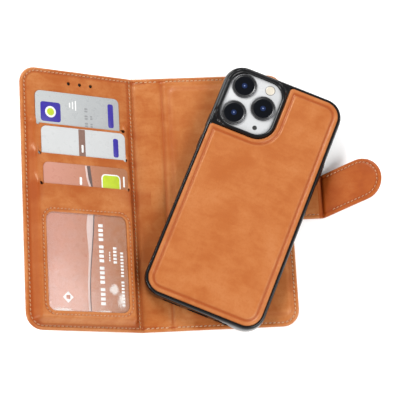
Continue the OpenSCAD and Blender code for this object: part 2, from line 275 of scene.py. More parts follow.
def flat_mesh(loop, holes, step, rings=RINGS, hole_rings=HOLE_RINGS):
    """Triangulates an outline with holes, with rows of points that follow the edges."""
    loops = [loop, *holes]
    verts, edges, kept = [], [], []
    for index, one in enumerate(loops):
        first = len(verts)
        verts += [tuple(v) for v in one]
        edges += [(first + i, first + (i + 1) % len(one)) for i in range(len(one))]
        for r in (hole_rings if index else rings):
            points = one + inward(one) * (-r if index else r)
            near = np.min([edge_distance(points, other) for other in loops], 0)
            kept.append(points[on_sheet(points, loop, holes) & (near > r * ROW_CLEAR)])
    lo, hi = loop.min(0), loop.max(0)
    gx, gy = np.meshgrid(np.arange(lo[0], hi[0], step), np.arange(lo[1], hi[1], step * ROW_RISE))
    gx[1::2] += step / 2
    grid = np.stack([gx.ravel(), gy.ravel()], 1)
    grid = grid[on_sheet(grid, loop, holes)]
    ok = edge_distance(grid, loop) > (rings[-1] if rings else 0) + step * GRID_CLEAR
    for hole in holes:
        ok &= edge_distance(grid, hole) > hole_rings[-1] + step * HOLE_CLEAR
    kept.append(grid[ok])
    spots = thinned(np.concatenate(kept))
    out = delaunay_2d_cdt([Vector(v) for v in verts + spots], edges, [], 0, 1e-5)
    points = np.array([tuple(v) for v in out[0]])
    faces = np.array([tuple(f) for f in out[2]])
    faces = faces[on_sheet(points[faces].mean(1), loop, holes)]
    a, b, c = (points[faces[:, k]] for k in range(3))
    area = (b[:, 0] - a[:, 0]) * (c[:, 1] - a[:, 1]) - (b[:, 1] - a[:, 1]) * (c[:, 0] - a[:, 0])
    return points, np.where((area < 0)[:, None], faces[:, ::-1], faces)


def boundary_edges(faces):
    """Directed edges that belong to one face only."""
    seen = {}
    for f in faces:
        for i in range(3):
            a, b = int(f[i]), int(f[(i + 1) % 3])
            if (b, a) in seen:
                del seen[(b, a)]
            else:
                seen[(a, b)] = 1
    return list(seen)


def ring_faces(rows, sides, first=0):
    """Faces round a stack of equal rings of points, with both ends closed."""
    faces = []
    for i in range(rows - 1):
        for k in range(sides):
            a, b = first + i * sides + k, first + i * sides + (k + 1) % sides
            faces.append((a, b, b + sides, a + sides))
    last = first + (rows - 1) * sides
    return faces + [tuple(range(first, first + sides))[::-1], tuple(range(last, last + sides))]


def turns(count):
    """Angles evenly round a circle."""
    return [2 * math.pi * k / count for k in range(count)]


def place_object(name, data):
    """A new object in the scene."""
    obj = bpy.data.objects.new(name, data)
    bpy.context.scene.collection.objects.link(obj)
    return obj


def make_object(name, verts, faces, look=None, attributes=None, sharp=50):
    """A mesh object from millimetre vertices, shaded smooth with sharp edges above an angle."""
    mesh = bpy.data.meshes.new(name)
    mesh.from_pydata([tuple(v) for v in np.asarray(verts) * MM], [], [tuple(f) for f in faces])
    mesh.validate()
    for key, values in (attributes or {}).items():
        layer = mesh.attributes.new(key, "FLOAT", "POINT")
        layer.data.foreach_set("value", np.asarray(values, np.float32))
    bm = bmesh.new()
    bm.from_mesh(mesh)
    bmesh.ops.remove_doubles(bm, verts=bm.verts, dist=1e-7)
    bmesh.ops.recalc_face_normals(bm, faces=bm.faces)
    bm.to_mesh(mesh)
    bm.free()
    mesh.polygons.foreach_set("use_smooth", [True] * len(mesh.polygons))
    if sharp:
        mesh.set_sharp_from_angle(angle=math.radians(sharp))
    if look:
        mesh.materials.append(look)
    return place_object(name, mesh)


def slab(name, loop, top, bottom, look, holes=(), through=(), floor=0, step=0.9, wear_and_painted_light=None, place=None,
         rings=RINGS, hole_rings=HOLE_RINGS, sharp=40):
    """A closed sheet. holes cut only the top face and end on a floor; through holes go right through.
    top, bottom and wear take points and their distance to the edge; wear also carries painted shade and
    highlights."""
    p, f = flat_mesh(loop, [*holes, *through], step, rings, hole_rings)
    q, g = flat_mesh(loop, [*through], step * UNDER_COARSER, rings[::3], hole_rings[:1])
    near = edge_distance(p, loop)
    low = bottom(q, edge_distance(q, loop))
    faces = [tuple(x) for x in f] + [tuple(x[::-1] + len(p)) for x in g]
    count = len(p) + len(q)
    low_at = {tuple(np.round(v, 3)): i + len(p) for i, v in enumerate(q)}
    made, added = {}, []
    for a, b in boundary_edges(f):
        ends = []
        for v in (a, b):
            key = tuple(np.round(p[v], 3))
            if key not in low_at and v not in made:
                made[v] = count + len(added)
                added.append((*p[v], floor))
            ends.append(low_at[key] if key in low_at else made[v])
        faces.append((b, a, *ends))
    for hole in holes:
        floor_points, floor_faces = flat_mesh(hole, [], FLOOR_STEP, (), ())
        faces += [tuple(x + count + len(added)) for x in floor_faces]
        added += [(*v, floor) for v in floor_points]
    inner = np.array(added, float).reshape(-1, 3)
    points = np.concatenate([np.column_stack([p, top(p, near)]), np.column_stack([q, low]), inner])
    wear_and_light_per_point = [wear_and_painted_light(p, near) if wear_and_painted_light else np.zeros(len(p)), np.zeros(len(q)), np.ones(len(inner))]
    # The deep attribute marks the walls and floors of cuts, which the leather colours near black as painted
    # shade.
    attributes = {"wear_and_painted_light": np.concatenate(wear_and_light_per_point), "pit_painted_shade": np.repeat([0, 1], [count, len(inner)]),
                  "flat_x": points[:, 0], "flat_y": points[:, 1]}
    return make_object(name, place(points) if place else points, faces, look, attributes, sharp)


def level(z):
    """A flat height field."""
    return lambda p, near: np.full(len(p), z)


def plate(name, loop, z0, z1, bevel, place, look):
    """A flat plate with softly rounded edges, as a closed mesh."""
    edge = ((bevel, 0), (bevel * 0.3, bevel * 0.3), (0, bevel))
    rows = [(inset, z0 + rise) for inset, rise in edge] + [(inset, z1 - rise) for inset, rise in edge[::-1]]
    verts = [(x, y, z) for inset, z in rows for x, y in loop + inward(loop) * inset]
    points = np.array(verts)
    flat = {"flat_x": points[:, 0], "flat_y": points[:, 1]}
    return make_object(name, place(points), ring_faces(len(rows), len(loop)), look, flat, sharp=60)


def join(objects, name):
    """Several meshes as one object, keeping their materials."""
    bm = bmesh.new()
    mesh = bpy.data.meshes.new(name)
    materials = []
    for obj in objects:
        own = obj.data.materials[0]
        if own not in materials:
            materials.append(own)
            mesh.materials.append(own)
        before = len(bm.faces)
        bm.from_mesh(obj.data)
        bm.faces.ensure_lookup_table()
        for face in bm.faces[before:]:
            face.material_index = materials.index(own)
            face.smooth = True
    bm.to_mesh(mesh)
    bm.free()
    mesh.set_sharp_from_angle(angle=math.radians(50))
    for obj in objects:
        bpy.data.objects.remove(obj)
    return place_object(name, mesh)


# ---- Placing: the cover and tab are built flat, then bent about their creases ----

BEND_HALF = 1.6                    # half the width of leather that bends at the cover's crease
TAB_BEND_HALF = 1.8


def at_u(u):
    """The X of a place on the flat cover."""
    return CREASE_L - u


def turn_y(points, angle, x, z):
    """Points turned about the line (x, z) along Y, lifting what lies at -X."""
    dx, dz = points[:, 0] - x, points[:, 2] - z
    out = points.copy()
    out[:, 0] = x + dx * np.cos(angle) + dz * np.sin(angle)
    out[:, 2] = z - dx * np.sin(angle) + dz * np.cos(angle)
    return out


def bend_cover(points):
    """Lifts what lies past the cover's crease."""
    w = 1 - smooth(CREASE_L - BEND_HALF, CREASE_L + BEND_HALF, points[:, 0])
    return turn_y(points, TILT * w, CREASE_L, CREASE_Z)


def turn_to_cover(points):
    """From the flat cover to the tilted one, for pieces that lie on it and don't bend."""
    return turn_y(np.array(points, float), TILT, CREASE_L, CREASE_Z)


def bend_tab(points):
    """Lifts what lies past the tab's fold."""
    w = smooth(TAB_FOLD - TAB_BEND_HALF, TAB_FOLD + TAB_BEND_HALF, points[:, 0])
    return turn_y(points, -TAB_LIFT * w, TAB_FOLD, CREASE_Z)


def place_case(points):
    """From the inner case's own frame to where it lies, turned, on the folio."""
    x, y, z = np.array(points, float).T
    c, s = math.cos(CASE_TURN), math.sin(CASE_TURN)
    return np.column_stack([CASE_AT[0] + x * c - y * s, CASE_AT[1] + x * s + y * c, CASE_AT[2] + z])


# ---- Materials ----

class Shader:
    """A Principled material and short ways to add nodes to it."""

    def __init__(self, name, **sockets):
        self.mat = bpy.data.materials.new(name)
        self.mat.use_nodes = True
        self.tree = self.mat.node_tree
        self.bsdf = self.tree.nodes["Principled BSDF"]
        for key, value in sockets.items():
            self.bsdf.inputs[key.replace("_", " ")].default_value = value

    def add(self, kind, **inputs):
        """A node with its inputs fed."""
        node = self.tree.nodes.new(kind)
        for key, value in inputs.items():
            self.feed(node, key, value)
        return node

    def feed(self, node, key, value):
        """Links or sets an input found by its name, or by its place when the key is i0, i1 and so on."""
        socket = node.inputs[int(key[1:])] if key[0] == "i" and key[1:].isdigit() else node.inputs[key]
        if isinstance(value, bpy.types.NodeSocket):
            self.tree.links.new(value, socket)
        else:
            socket.default_value = value

    def math(self, op, a, b):
        node = self.add("ShaderNodeMath", i0=a, i1=b)
        node.operation = op
        return node.outputs[0]

    def vector(self, op, a, b):
        node = self.add("ShaderNodeVectorMath", i0=a, i1=b)
        node.operation = op
        return node.outputs["Value" if op == "DISTANCE" else "Vector"]

    def weighted(self, a, share_a, b, share_b):
        """Two values added in the given shares."""
        return self.math("ADD", self.math("MULTIPLY", a, share_a), self.math("MULTIPLY", b, share_b))

    def attribute(self, name):
        node = self.tree.nodes.new("ShaderNodeAttribute")
        node.attribute_name = name
        return node.outputs["Fac"]

    def flat(self):
        """The piece's own flat coordinates, in millimetres."""
        node = self.add("ShaderNodeCombineXYZ", X=self.attribute("flat_x"), Y=self.attribute("flat_y"))
        return node.outputs[0]

    def object_mm(self):
        """The object's coordinates, in millimetres."""
        coords = self.tree.nodes.new("ShaderNodeTexCoord").outputs["Object"]
        node = self.tree.nodes.new("ShaderNodeVectorMath")
        node.operation = "SCALE"
        self.tree.links.new(coords, node.inputs[0])
        node.inputs["Scale"].default_value = 1 / MM
        return node.outputs[0]

    def noise(self, where, size, detail=3.0, rough=0.55, distort=0.0):
        """Noise with features about size millimetres across."""
        node = self.add("ShaderNodeTexNoise", Vector=where, Scale=1 / size, Detail=detail, Roughness=rough,
                        Distortion=distort)
        return node.outputs["Fac"]

    def cells(self, where, size):
        """Distance to the nearest of many scattered points, about size millimetres apart."""
        return self.add("ShaderNodeTexVoronoi", Vector=where, Scale=1 / size).outputs["Distance"]

    def span(self, value, a, b, c=0.0, d=1.0):
        """A soft ramp that takes a to c and b to d."""
        node = self.add("ShaderNodeMapRange", Value=value)
        node.interpolation_type = "SMOOTHSTEP"
        for key, number in zip(("From Min", "From Max", "To Min", "To Max"), (a, b, c, d)):
            node.inputs[key].default_value = number
        return node.outputs[0]

    def mix(self, factor, a, b):
        """Colour a where factor is 0, colour b where it is 1."""
        node = self.tree.nodes.new("ShaderNodeMix")
        node.data_type = "RGBA"
        self.feed(node, "i0", factor)
        for index, value in ((6, a), (7, b)):
            if isinstance(value, bpy.types.NodeSocket):
                self.tree.links.new(value, node.inputs[index])
            else:
                node.inputs[index].default_value = (*value, 1)
        return node.outputs[2]

    def bump(self, height, strength, depth_mm):
        node = self.add("ShaderNodeBump", Height=height, Strength=strength)
        node.inputs["Distance"].default_value = depth_mm * MM
        self.tree.links.new(node.outputs[0], self.bsdf.inputs["Normal"])

    def colour(self, value):
        self.tree.links.new(value, self.bsdf.inputs["Base Color"])

    def roughness(self, value):
        self.tree.links.new(value, self.bsdf.inputs["Roughness"])

    def mottled(self, where, colour, size, darker, detail=3.0):
        """A base colour that drifts to a darker shade of itself."""
        shade = [c * darker for c in colour]
        self.colour(self.mix(self.span(self.noise(where, size, detail), 0.3, 0.7), colour, shade))

    def uneven(self, where, rough, size, detail):
        """Roughness that varies round a value."""
        self.roughness(self.span(self.noise(where, size, detail), 0.3, 0.75, rough * 0.8, rough * 1.3))


def leather(name, base, dark, light, seed, gloss=0.38):
    """Waxy leather with soft mottling and fine grain, darker where pressed and in painted shade, paler under
    painted highlights.
    """
    s = Shader(name, Specular_IOR_Level=0.30, Specular_Tint=(1, 0.76, 0.5, 1), Coat_Weight=0.06,
               Coat_Roughness=0.18)
    where = s.vector("ADD", s.flat(), (seed, seed * 1.7, 0))
    streak = s.noise(s.vector("MULTIPLY", where, (0.3, 1, 1)), 3.2, 4, 0.6, 0.4)
    cloud = s.weighted(s.noise(where, 8, 4, 0.6, 0.8), 0.6, streak, 0.4)
    tone = s.weighted(s.noise(where, 26, 2, 0.5, 0.6), 0.5, cloud, 0.5)
    colour = s.mix(s.span(tone, 0.38, 0.56), dark, base)
    colour = s.mix(s.span(tone, 0.5, 0.68, 0, 0.8), colour, light)
    colour = s.mix(s.span(s.noise(where, 1.4, 3, 0.6), 0.46, 0.7, 0, 0.4), colour, dark)
    wear_and_painted_light = s.attribute("wear_and_painted_light")
    # Above 0 the leather darkens in pressed seams and creases, partly painted shade; below 0 it turns paler,
    # a painted highlight on rolled edges and crests.
    pressed_and_shaded = [c * f for c, f in zip(dark, (0.84, 0.62, 0.5))]
    colour = s.mix(s.span(wear_and_painted_light, 0.0, 0.9, 0, 0.92), colour, pressed_and_shaded)
    colour = s.mix(s.span(wear_and_painted_light, -0.05, -1.0, 0, 0.7), colour, light)
    # Painted shade: the walls and floors of cuts are coloured near black.
    s.colour(s.mix(s.attribute("pit_painted_shade"), colour, (0.05, 0.018, 0.008)))
    grain = s.weighted(s.cells(where, 0.55), 0.6, s.noise(where, 0.28, 2, 0.5), 0.4)
    s.bump(s.weighted(grain, 1.0, cloud, 1.4), 0.45, 0.16)
    s.roughness(s.span(cloud, 0.3, 0.7, gloss + 0.08, gloss - 0.07))
    return s.mat


TAN = dict(base=(0.335, 0.110, 0.030), dark=(0.275, 0.066, 0.012), light=(0.385, 0.150, 0.052))
# The strap tab's colours: the folio's tan made darker, as painted shade of the tab's face.
SHADED_TAN = dict(base=(0.280, 0.062, 0.009), dark=(0.235, 0.042, 0.004), light=(0.315, 0.088, 0.020))
CASE_TAN = dict(base=(0.330, 0.106, 0.030), dark=(0.288, 0.078, 0.018), light=(0.362, 0.132, 0.045))


def thread_material(name, colour):
    """Twisted thread, a little fuzzy."""
    s = Shader(name, Roughness=0.62, Sheen_Weight=0.3)
    where = s.object_mm()
    s.colour(s.mix(s.span(s.noise(where, 2.5), 0.35, 0.65), colour, [c * 0.7 for c in colour]))
    twist = s.add("ShaderNodeTexWave", Vector=where, Scale=2.4, Distortion=0.5)
    s.bump(twist.outputs["Fac"], 0.5, 0.06)
    return s.mat


def plastic(name, colour, rough, grain_mm=0.5, strength=0.05, ior=1.5):
    """Moulded plastic with a faint texture and uneven gloss."""
    s = Shader(name, IOR=ior)
    where = s.object_mm()
    s.mottled(where, colour, 9, 0.8)
    s.uneven(where, rough, 5, 4)
    s.bump(s.noise(where, grain_mm, 2), strength, 0.05)
    return s.mat


def metal(name, colour, rough):
    """Fine-grained metal with uneven gloss."""
    s = Shader(name, Metallic=1.0, Anisotropic=0.3)
    where = s.object_mm()
    grain = s.noise(where, 0.15, 3)
    s.mottled(where, colour, 6, 0.88)
    s.roughness(s.span(grain, 0.3, 0.7, rough * 0.8, rough * 1.4))
    s.bump(grain, 0.04, 0.02)
    return s.mat


def glass_face(name, colour, rough, coat=1.0, ior=1.5):
    """Opaque glass: coloured from behind, glossy in front, with faint smears."""
    s = Shader(name, Coat_Weight=coat, Coat_Roughness=0.03, IOR=ior)
    where = s.object_mm()
    s.mottled(where, colour, 12, 0.94, 4)
    s.uneven(where, rough, 7, 5)
    return s.mat


# Painted glare on the film, as milky patches: u, y, and half the width and height
PAINTED_GLARE_SPOTS = ((20.5, -53.0, 5.0, 6.0), (15.5, -60.0, 5.0, 9.0),
          (53.0, -66.0, 11.0, 3.2), (27.0, -66.5, 9.0, 2.4))


def film_material():
    """Clear film with a slight gloss, with milky patches of painted glare near its lower corners."""
    s = Shader("clear_film")
    tree = s.tree
    clear = tree.nodes.new("ShaderNodeBsdfTransparent")
    clear.inputs[0].default_value = (1, 1, 1, 1)
    gloss = tree.nodes.new("ShaderNodeBsdfGlossy")
    gloss.inputs["Roughness"].default_value = 0.06
    # Painted reflection: a pale diffuse layer stands in for glare.
    glare_paint = tree.nodes.new("ShaderNodeBsdfDiffuse")
    glare_paint.inputs[0].default_value = (0.80, 0.76, 0.72, 1)
    where = s.flat()
    shine = s.span(s.noise(where, 5, 4, 0.6), 0.35, 0.7, 0.012, 0.05)
    ripple = s.noise(where, 6, 3, 0.55, 1.2)
    glare_reach = 0.0
    for u, y, wide, high in PAINTED_GLARE_SPOTS:
        scaled = s.vector("MULTIPLY", where, (1 / wide, 1 / high, 0))
        offset = s.vector("DISTANCE", scaled, (at_u(u) / wide, y / high, 0))
        glare_reach = s.math("ADD", s.span(offset, 1.0, 0.0), glare_reach)
    # How much painted glare shows, broken up by the ripple.
    cover = s.span(s.math("MULTIPLY", glare_reach, ripple), 0.14, 0.44, 0, 0.34)
    result = clear.outputs[0]
    for amount, layer in ((shine, gloss), (cover, glare_paint)):
        mixer = tree.nodes.new("ShaderNodeMixShader")
        for socket, source in zip(mixer.inputs, (amount, result, layer.outputs[0])):
            tree.links.new(source, socket)
        result = mixer.outputs[0]
    tree.links.new(result, tree.nodes["Material Output"].inputs["Surface"])
    return s.mat


def ink(name, colour):
    """Printed colour with slightly uneven gloss."""
    s = Shader(name, Coat_Weight=0.15, Coat_Roughness=0.15)
    where = s.flat()
    s.mottled(where, colour, 3, 0.9)
    s.roughness(s.span(s.noise(where, 1.2), 0.3, 0.7, 0.323, 0.456))
    return s.mat


def card_face(name, left, right, sparkle):
    """Laminated card stock whose colour changes gently across its width."""
    s = Shader(name, Coat_Weight=0.3, Coat_Roughness=0.14, IOR=1.45)
    where = s.flat()
    colour = s.mix(s.span(s.attribute("flat_x"), at_u(62), at_u(8)), left, right)
    cloud = s.noise(where, 9, 3, 0.5, 0.5)
    colour = s.mix(s.span(cloud, 0.35, 0.7, 0, 0.1), colour, [min(1, c * 1.2) for c in left])
    flake = s.noise(where, 0.22, 1)
    s.colour(s.mix(s.span(flake, 0.55, 0.8, 0, sparkle), colour, (0.95, 0.96, 0.97)))
    s.roughness(s.span(s.noise(where, 4, 4), 0.3, 0.7, 0.255, 0.36))
    s.bump(flake, 0.012, 0.01)
    return s.mat


# ---- The folio's leather ----

CHANNEL = (0.5, 0.3)               # width and depth of a sewn channel
WINDOW_SEAM = 2.0                  # the stitching round the window
CUT_STEP = 1.2                     # spacing of points along the outlines
FACING_GAP = 0.8                   # the cover's facing stops this far from the crease
FACING_R = 0.8
PIT_FLOOR = 2.0                    # the floor that shows through a slit or the window
EDGE_Z = 1.25                      # where the inner and outer leather meet
EDGE_ROLL = 1.3                    # how far in from the edge the inner leather is rounded
OUTER_ROLL = 1.1
MID_SPINE = (CREASE_L + CREASE_R) / 2
FOLIO = rounded(COVER_X0, -HALF_H, BACK_X1, HALF_H, CORNER_R)
FACING = rounded(COVER_X0, -HALF_H, CREASE_L - FACING_GAP, HALF_H, (CORNER_R, FACING_R, FACING_R, CORNER_R))
ID_LOOP = framed(at_u(POCKET_U), ID_Y, ID_W, ID_H, ID_R)
PAD_LOOP = rounded(-32, -69, 32.5, 69.5, 3)
CAMERA_WINDOW = framed(-CAM_X, CAM_Y, CAM_W, CAM_L, CAM_R, WINDOW_MARGIN)


def spine_height(x):
    """The spine's inner face: a low crown between two valleys."""
    half = (CREASE_R - CREASE_L) / 2
    crown = 0.22 * (1 - ((x - MID_SPINE) / half) ** 2)
    return SPINE_TOP + crown + groove(x - CREASE_R, 1.3, 0.62) + groove(x - CREASE_L - 0.4, 1.1, 0.5)


def hem(near):
    """The turned edge: a sewn channel and a shallow valley inside it."""
    return groove(near - STITCH_IN, *CHANNEL) + groove(near - 4.7, 1.0, 0.16)


def pocket_steps(u, y):
    """How many pocket layers lie under a point: hard steps at the slits, soft ones beside them."""
    within = smooth(0, 1.3, SLIT_HALF - np.abs(u - POCKET_U))
    rises = (CARD_LIFT + CARD_T + OVER_CARD + POCKET_T, LEVEL, LEVEL)
    total = np.zeros(len(u))
    for mouth, rise in zip(MOUTHS, rises):
        below = (y < mouth).astype(float)
        beside = np.where(y < mouth, 1.0, 1 - smooth(0, 6.5, y - mouth))
        total += rise * (within * below + (1 - within) * beside)
    return total


def lip_roll(u, y):
    """The cut edge of each pocket, rounded over a little."""
    lip = 0.7
    within = np.abs(u - POCKET_U) < SLIT_HALF
    drop = np.zeros(len(u))
    for mouth in MOUTHS:
        d = mouth - y
        drop += np.where(within & (d >= 0) & (d < lip), 0.25 * pressed_edge(d, lip), 0)
    return drop


def cover_height(p, _=None):
    """The cover's inner face: pockets under the leather, sewn channels and the window's pressed rim."""
    x, y = p[:, 0], p[:, 1]
    u = CREASE_L - x
    near_all = edge_distance(p, FOLIO)
    near = edge_distance(p, FACING)
    window = edge_distance(p, ID_LOOP)
    sides = smooth(3.0, 7.2, u) * smooth(3.0, 7.8, COVER_W - u) * smooth(3.0, 7.6, y + HALF_H)
    z = LINING_TOP + 0.16 * smooth(STITCH_IN, 6, near)
    z = z + pocket_steps(u, y) * sides - lip_roll(u, y)
    z = z + groove(near - STITCH_IN, *CHANNEL) + groove(near - 4.4, 0.9, 0.1) * (1 - sides)
    z = z + groove(window - WINDOW_SEAM, 0.45, 0.26) - 0.22 * pressed_edge(window, 0.6)
    z = z + 0.09 * noise2(p, 13, 3) * smooth(5, 12, near) + 0.03 * noise2(p, 4, 8)
    spine = spine_height(x) + hem(near_all)
    return roll(near_all, EDGE_ROLL, spine + (z - spine) * smooth(0.55, 1.25, u), EDGE_Z)


def cover_wear_and_painted_light(p, _):
    """Darker in seams and round the pockets, partly painted shade in the seams and crease; paler rolled edge,
    a painted highlight.
    """
    x, y = p[:, 0], p[:, 1]
    u = CREASE_L - x
    near_all = edge_distance(p, FOLIO)
    near = np.where(u > FACING_GAP, edge_distance(p, FACING), near_all)
    seam = np.maximum(bell(near - STITCH_IN, 0.55), 0.75 * bell(near - STITCH_IN - 0.9, 0.6))
    seam = np.maximum(seam, bell(edge_distance(p, ID_LOOP) - WINDOW_SEAM, 0.5))
    slots = np.max([bell(y - mouth + 1.0, 2.6) for mouth in MOUTHS], 0)
    off_middle = np.abs(u - POCKET_U)
    side = bell(off_middle - 31.5, 3.2) * smooth(52, 30, y)
    across = bell(y - 0.5, 5.0) * (0.35 + 0.65 * smooth(16, 28, off_middle))
    crease = bell(x - CREASE_L - 0.3, 0.9)
    # Painted shade in the seam and crease terms; painted highlight in the last term, on the rolled edge.
    return 0.9 * seam + 0.30 * slots + 0.55 * side + 0.4 * across + 0.6 * crease - 0.7 * bell(near_all, 0.9)


def back_height(p, _=None):
    """The back panel's and spine's inner face, raised over the magnet pad."""
    x = p[:, 0]
    near = edge_distance(p, FOLIO)
    z = LINING_TOP + (PAD_TOP - LINING_TOP) * smooth(-2.0, 2.2, signed_distance(p, PAD_LOOP))
    z = z + 0.05 * noise2(p, 12, 5) * smooth(4, 9, near) + 0.02 * noise2(p, 4, 2)
    spine = spine_height(x)
    z = spine + (z - spine) * smooth(CREASE_R - 0.2, CREASE_R + 2.2, x) + hem(near)
    z = z - 0.35 * pressed_edge(edge_distance(p, CAMERA_WINDOW), 0.8)
    return roll(near, EDGE_ROLL, z, EDGE_Z)


def back_wear_and_painted_light(p, _):
    """Darker in the seam, the crease (with painted shade) and round the pad; paler on the pad; painted
    highlight on the rolled edges.
    """
    near = edge_distance(p, FOLIO)
    inner = signed_distance(p, PAD_LOOP)
    seam = bell(near - STITCH_IN, 0.55)
    crease = bell(p[:, 0] - CREASE_R, 1.0)
    pad = smooth(0, 1.2, inner)
    # Painted shade in the seam and crease terms; painted highlight in the last term, on the rolled edge.
    return 0.6 * seam + 0.32 * bell(inner + 0.2, 1.6) + 0.6 * crease - 0.25 * pad - 0.7 * bell(near, 0.9)


def outer_bottom(p, _):
    """The outer face lies flat, rounded up to the edge all round the folio."""
    return roll(edge_distance(p, FOLIO), OUTER_ROLL, 0.0, EDGE_Z)


def make_cover(look):
    """The cover's leather: one sheet from its outer edge to the middle of the spine."""
    loop = spaced(rounded(COVER_X0, -HALF_H, MID_SPINE, HALF_H, (CORNER_R, 0, 0, CORNER_R)), CUT_STEP)
    cuts = [dumbbell(at_u(POCKET_U), y, SLIT_HALF, RELIEF_R) for y in MOUTHS] + [ID_LOOP]
    speakers = [circle(at_u(u), SPEAKER_Y, SPEAKER_R) for u in SPEAKER_U]
    obj = slab("cover_leather", loop, cover_height, outer_bottom, look, [spaced(c, CUT_STEP) for c in cuts],
               speakers, floor=PIT_FLOOR, wear_and_painted_light=cover_wear_and_painted_light, place=bend_cover)
    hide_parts("cover_outer", "cover_board", "cover_lining", "pocket_panel_1", "pocket_panel_2",
                "window_panel")
    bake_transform(obj)


def make_speaker_hole_shade():
    """Dark discs set inside the three speaker holes, painted shade for their dark inside."""
    # Painted shade: near-black discs fill the speaker holes.
    black = plastic("speaker_hole_shade_black", (0.010, 0.008, 0.007), 0.7, 0.25, 0.4)
    discs = []
    for i, u in enumerate(SPEAKER_U):
        outline = circle(at_u(u), SPEAKER_Y, SPEAKER_R + 0.02)
        discs.append(plate(f"gauze_{i}", outline, 1.2, 1.5, 0.05, turn_to_cover, black))
    hole_shade = join(discs, "speaker_holes_painted_shade")
    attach(hole_shade, "cover")


def make_back(look):
    """The back panel's leather: one sheet from the middle of the spine to the right edge."""
    loop = spaced(rounded(MID_SPINE, -HALF_H, BACK_X1, HALF_H, (0, CORNER_R, CORNER_R, 0)), CUT_STEP)
    obj = slab("back_leather", loop, back_height, outer_bottom, look, (), [spaced(CAMERA_WINDOW, CUT_STEP)],
               wear_and_painted_light=back_wear_and_painted_light)
    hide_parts("back_outer", "back_board", "back_magnets", "back_lining", "magnet_pad",
                "spine_outer", "spine_board", "spine_lining")
    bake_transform(obj)


# ---- Stitching ----

def along(points, pitch, closed=False):
    """Evenly spaced places and directions along a polyline."""
    pts = np.asarray(points, float)
    if closed:
        pts = np.vstack([pts, pts[:1]])
    legs = np.hypot(*np.diff(pts, axis=0).T)
    total = legs.sum()
    count = max(1, int(round(total / pitch)))
    marks = (np.arange(count) + 0.5) * total / count
    sums = np.concatenate([[0], np.cumsum(legs)])
    out = []
    for m in marks:
        i = min(int(np.searchsorted(sums, m, "right")) - 1, len(legs) - 1)
        direction = (pts[i + 1] - pts[i]) / legs[i]
        out.append((pts[i] + direction * (m - sums[i]), direction))
    return out


STATIONS, SIDES = 7, 6             # points along and round one stitch
SLANT = 9                          # degrees between a stitch and its seam
WINDOW_THREAD = dict(pitch=2.3, length=1.75, thick=0.3)
STRAP_THREAD = dict(pitch=2.4, length=1.8, thick=0.3)


def stitch_mesh(name, runs, height, place, look, pitch=2.5, length=1.95, thick=0.34):
    """Separate stitches laid along runs: each a short thread that dips into the leather at both ends."""
    rng = random.Random(name)
    verts, faces = [], []
    for run, closed in runs:
        spots = along(run, pitch, closed)
        base = height(np.array([spot for spot, _ in spots]))
        for (spot, direction), z0 in zip(spots, base):
            turn = math.radians(SLANT + rng.uniform(-3, 3))
            c, s = math.cos(turn), math.sin(turn)
            d = np.array([direction[0] * c - direction[1] * s, direction[0] * s + direction[1] * c])
            side = np.array([-d[1], d[0]])
            reach = length / 2 * rng.uniform(0.94, 1.05)
            faces += ring_faces(STATIONS, SIDES, len(verts))
            for t in np.linspace(-1, 1, STATIONS):
                r = thick * math.sqrt(max(0.06, 1 - abs(t) ** 3.2))
                mid = spot + d * reach * t
                z = z0 + 0.34 - 0.42 * t * t
                for a in turns(SIDES):
                    verts.append((*(mid + side * r * math.cos(a)), z + 0.8 * r * math.sin(a)))
    points = np.array(verts)
    return make_object(name, place(points) if place else points, faces, look, sharp=0)


def make_stitching():
    """The seams of the cover, window, back panel and spine; returns the thread for the strap."""
    thread = thread_material("thread_tan", (0.43, 0.19, 0.072))
    pale = thread_material("thread_pale", (0.50, 0.27, 0.13))
    y = HALF_H - STITCH_IN
    r = CORNER_R - STITCH_IN
    right = BACK_X1 - STITCH_IN
    cover_run = rounded(COVER_X0 + STITCH_IN, -y, CREASE_L - STITCH_IN, y, (r, 0, 0, r))
    cover = stitch_mesh("cover_stitches", [(cover_run, True)], cover_height, bend_cover, thread)
    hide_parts("cover_stitching")
    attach(cover, "cover")
    window = framed(at_u(POCKET_U), ID_Y, ID_W, ID_H, ID_R, WINDOW_SEAM)
    ring = stitch_mesh("window_stitches", [(window, True)], cover_height, bend_cover, thread, **WINDOW_THREAD)
    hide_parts("window_stitching")
    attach(ring, "cover")
    start = CREASE_R + 2.4             # the back's seam begins just past the crease
    back_run = np.concatenate([[[start, -y]], arc(right - r, -y + r, r, -90, 0, 8),
                               arc(right - r, y - r, r, 0, 90, 8), [[start, y]]])
    back = stitch_mesh("back_stitches", [(back_run, False)], back_height, None, pale)
    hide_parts("back_stitching")
    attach(back, "back_panel")
    spine_runs = [(np.array([[CREASE_L + 2.2, s * y], [CREASE_R - 2.2, s * y]]), False) for s in (-1, 1)]
    spine = stitch_mesh("spine_stitches", spine_runs, back_height, None, pale)
    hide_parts("spine_stitching")
    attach(spine, "spine")
    return thread


# ---- Closure strap ----

STRAP_MID = TAB_FOLD - 2.4         # where the root's sheet ends and the tab's begins
STRAP_TUCK = 35.4                  # the hidden end, under the back panel
STRAP_SEAM = 2.4                   # stitching in from the edge
LOW_SEAM, HIGH_SEAM = 22.5, 19.5   # the tab's two straight seams
PAST_TAB = 200.0                   # any X beyond the tab's end
TAB_DIR = np.array([math.cos(TAB_SLANT), math.sin(TAB_SLANT)])
TAB_R = TAB_W / 2
TAB_END = np.array([TAB_FOLD, STRAP_Y]) + (TAB_L - TAB_R) * TAB_DIR     # centre of the round end


def tab_arc(r, steps):
    """The tab's round end."""
    slant = math.degrees(TAB_SLANT)
    return arc(*TAB_END, r, slant - 90, slant + 90, steps)


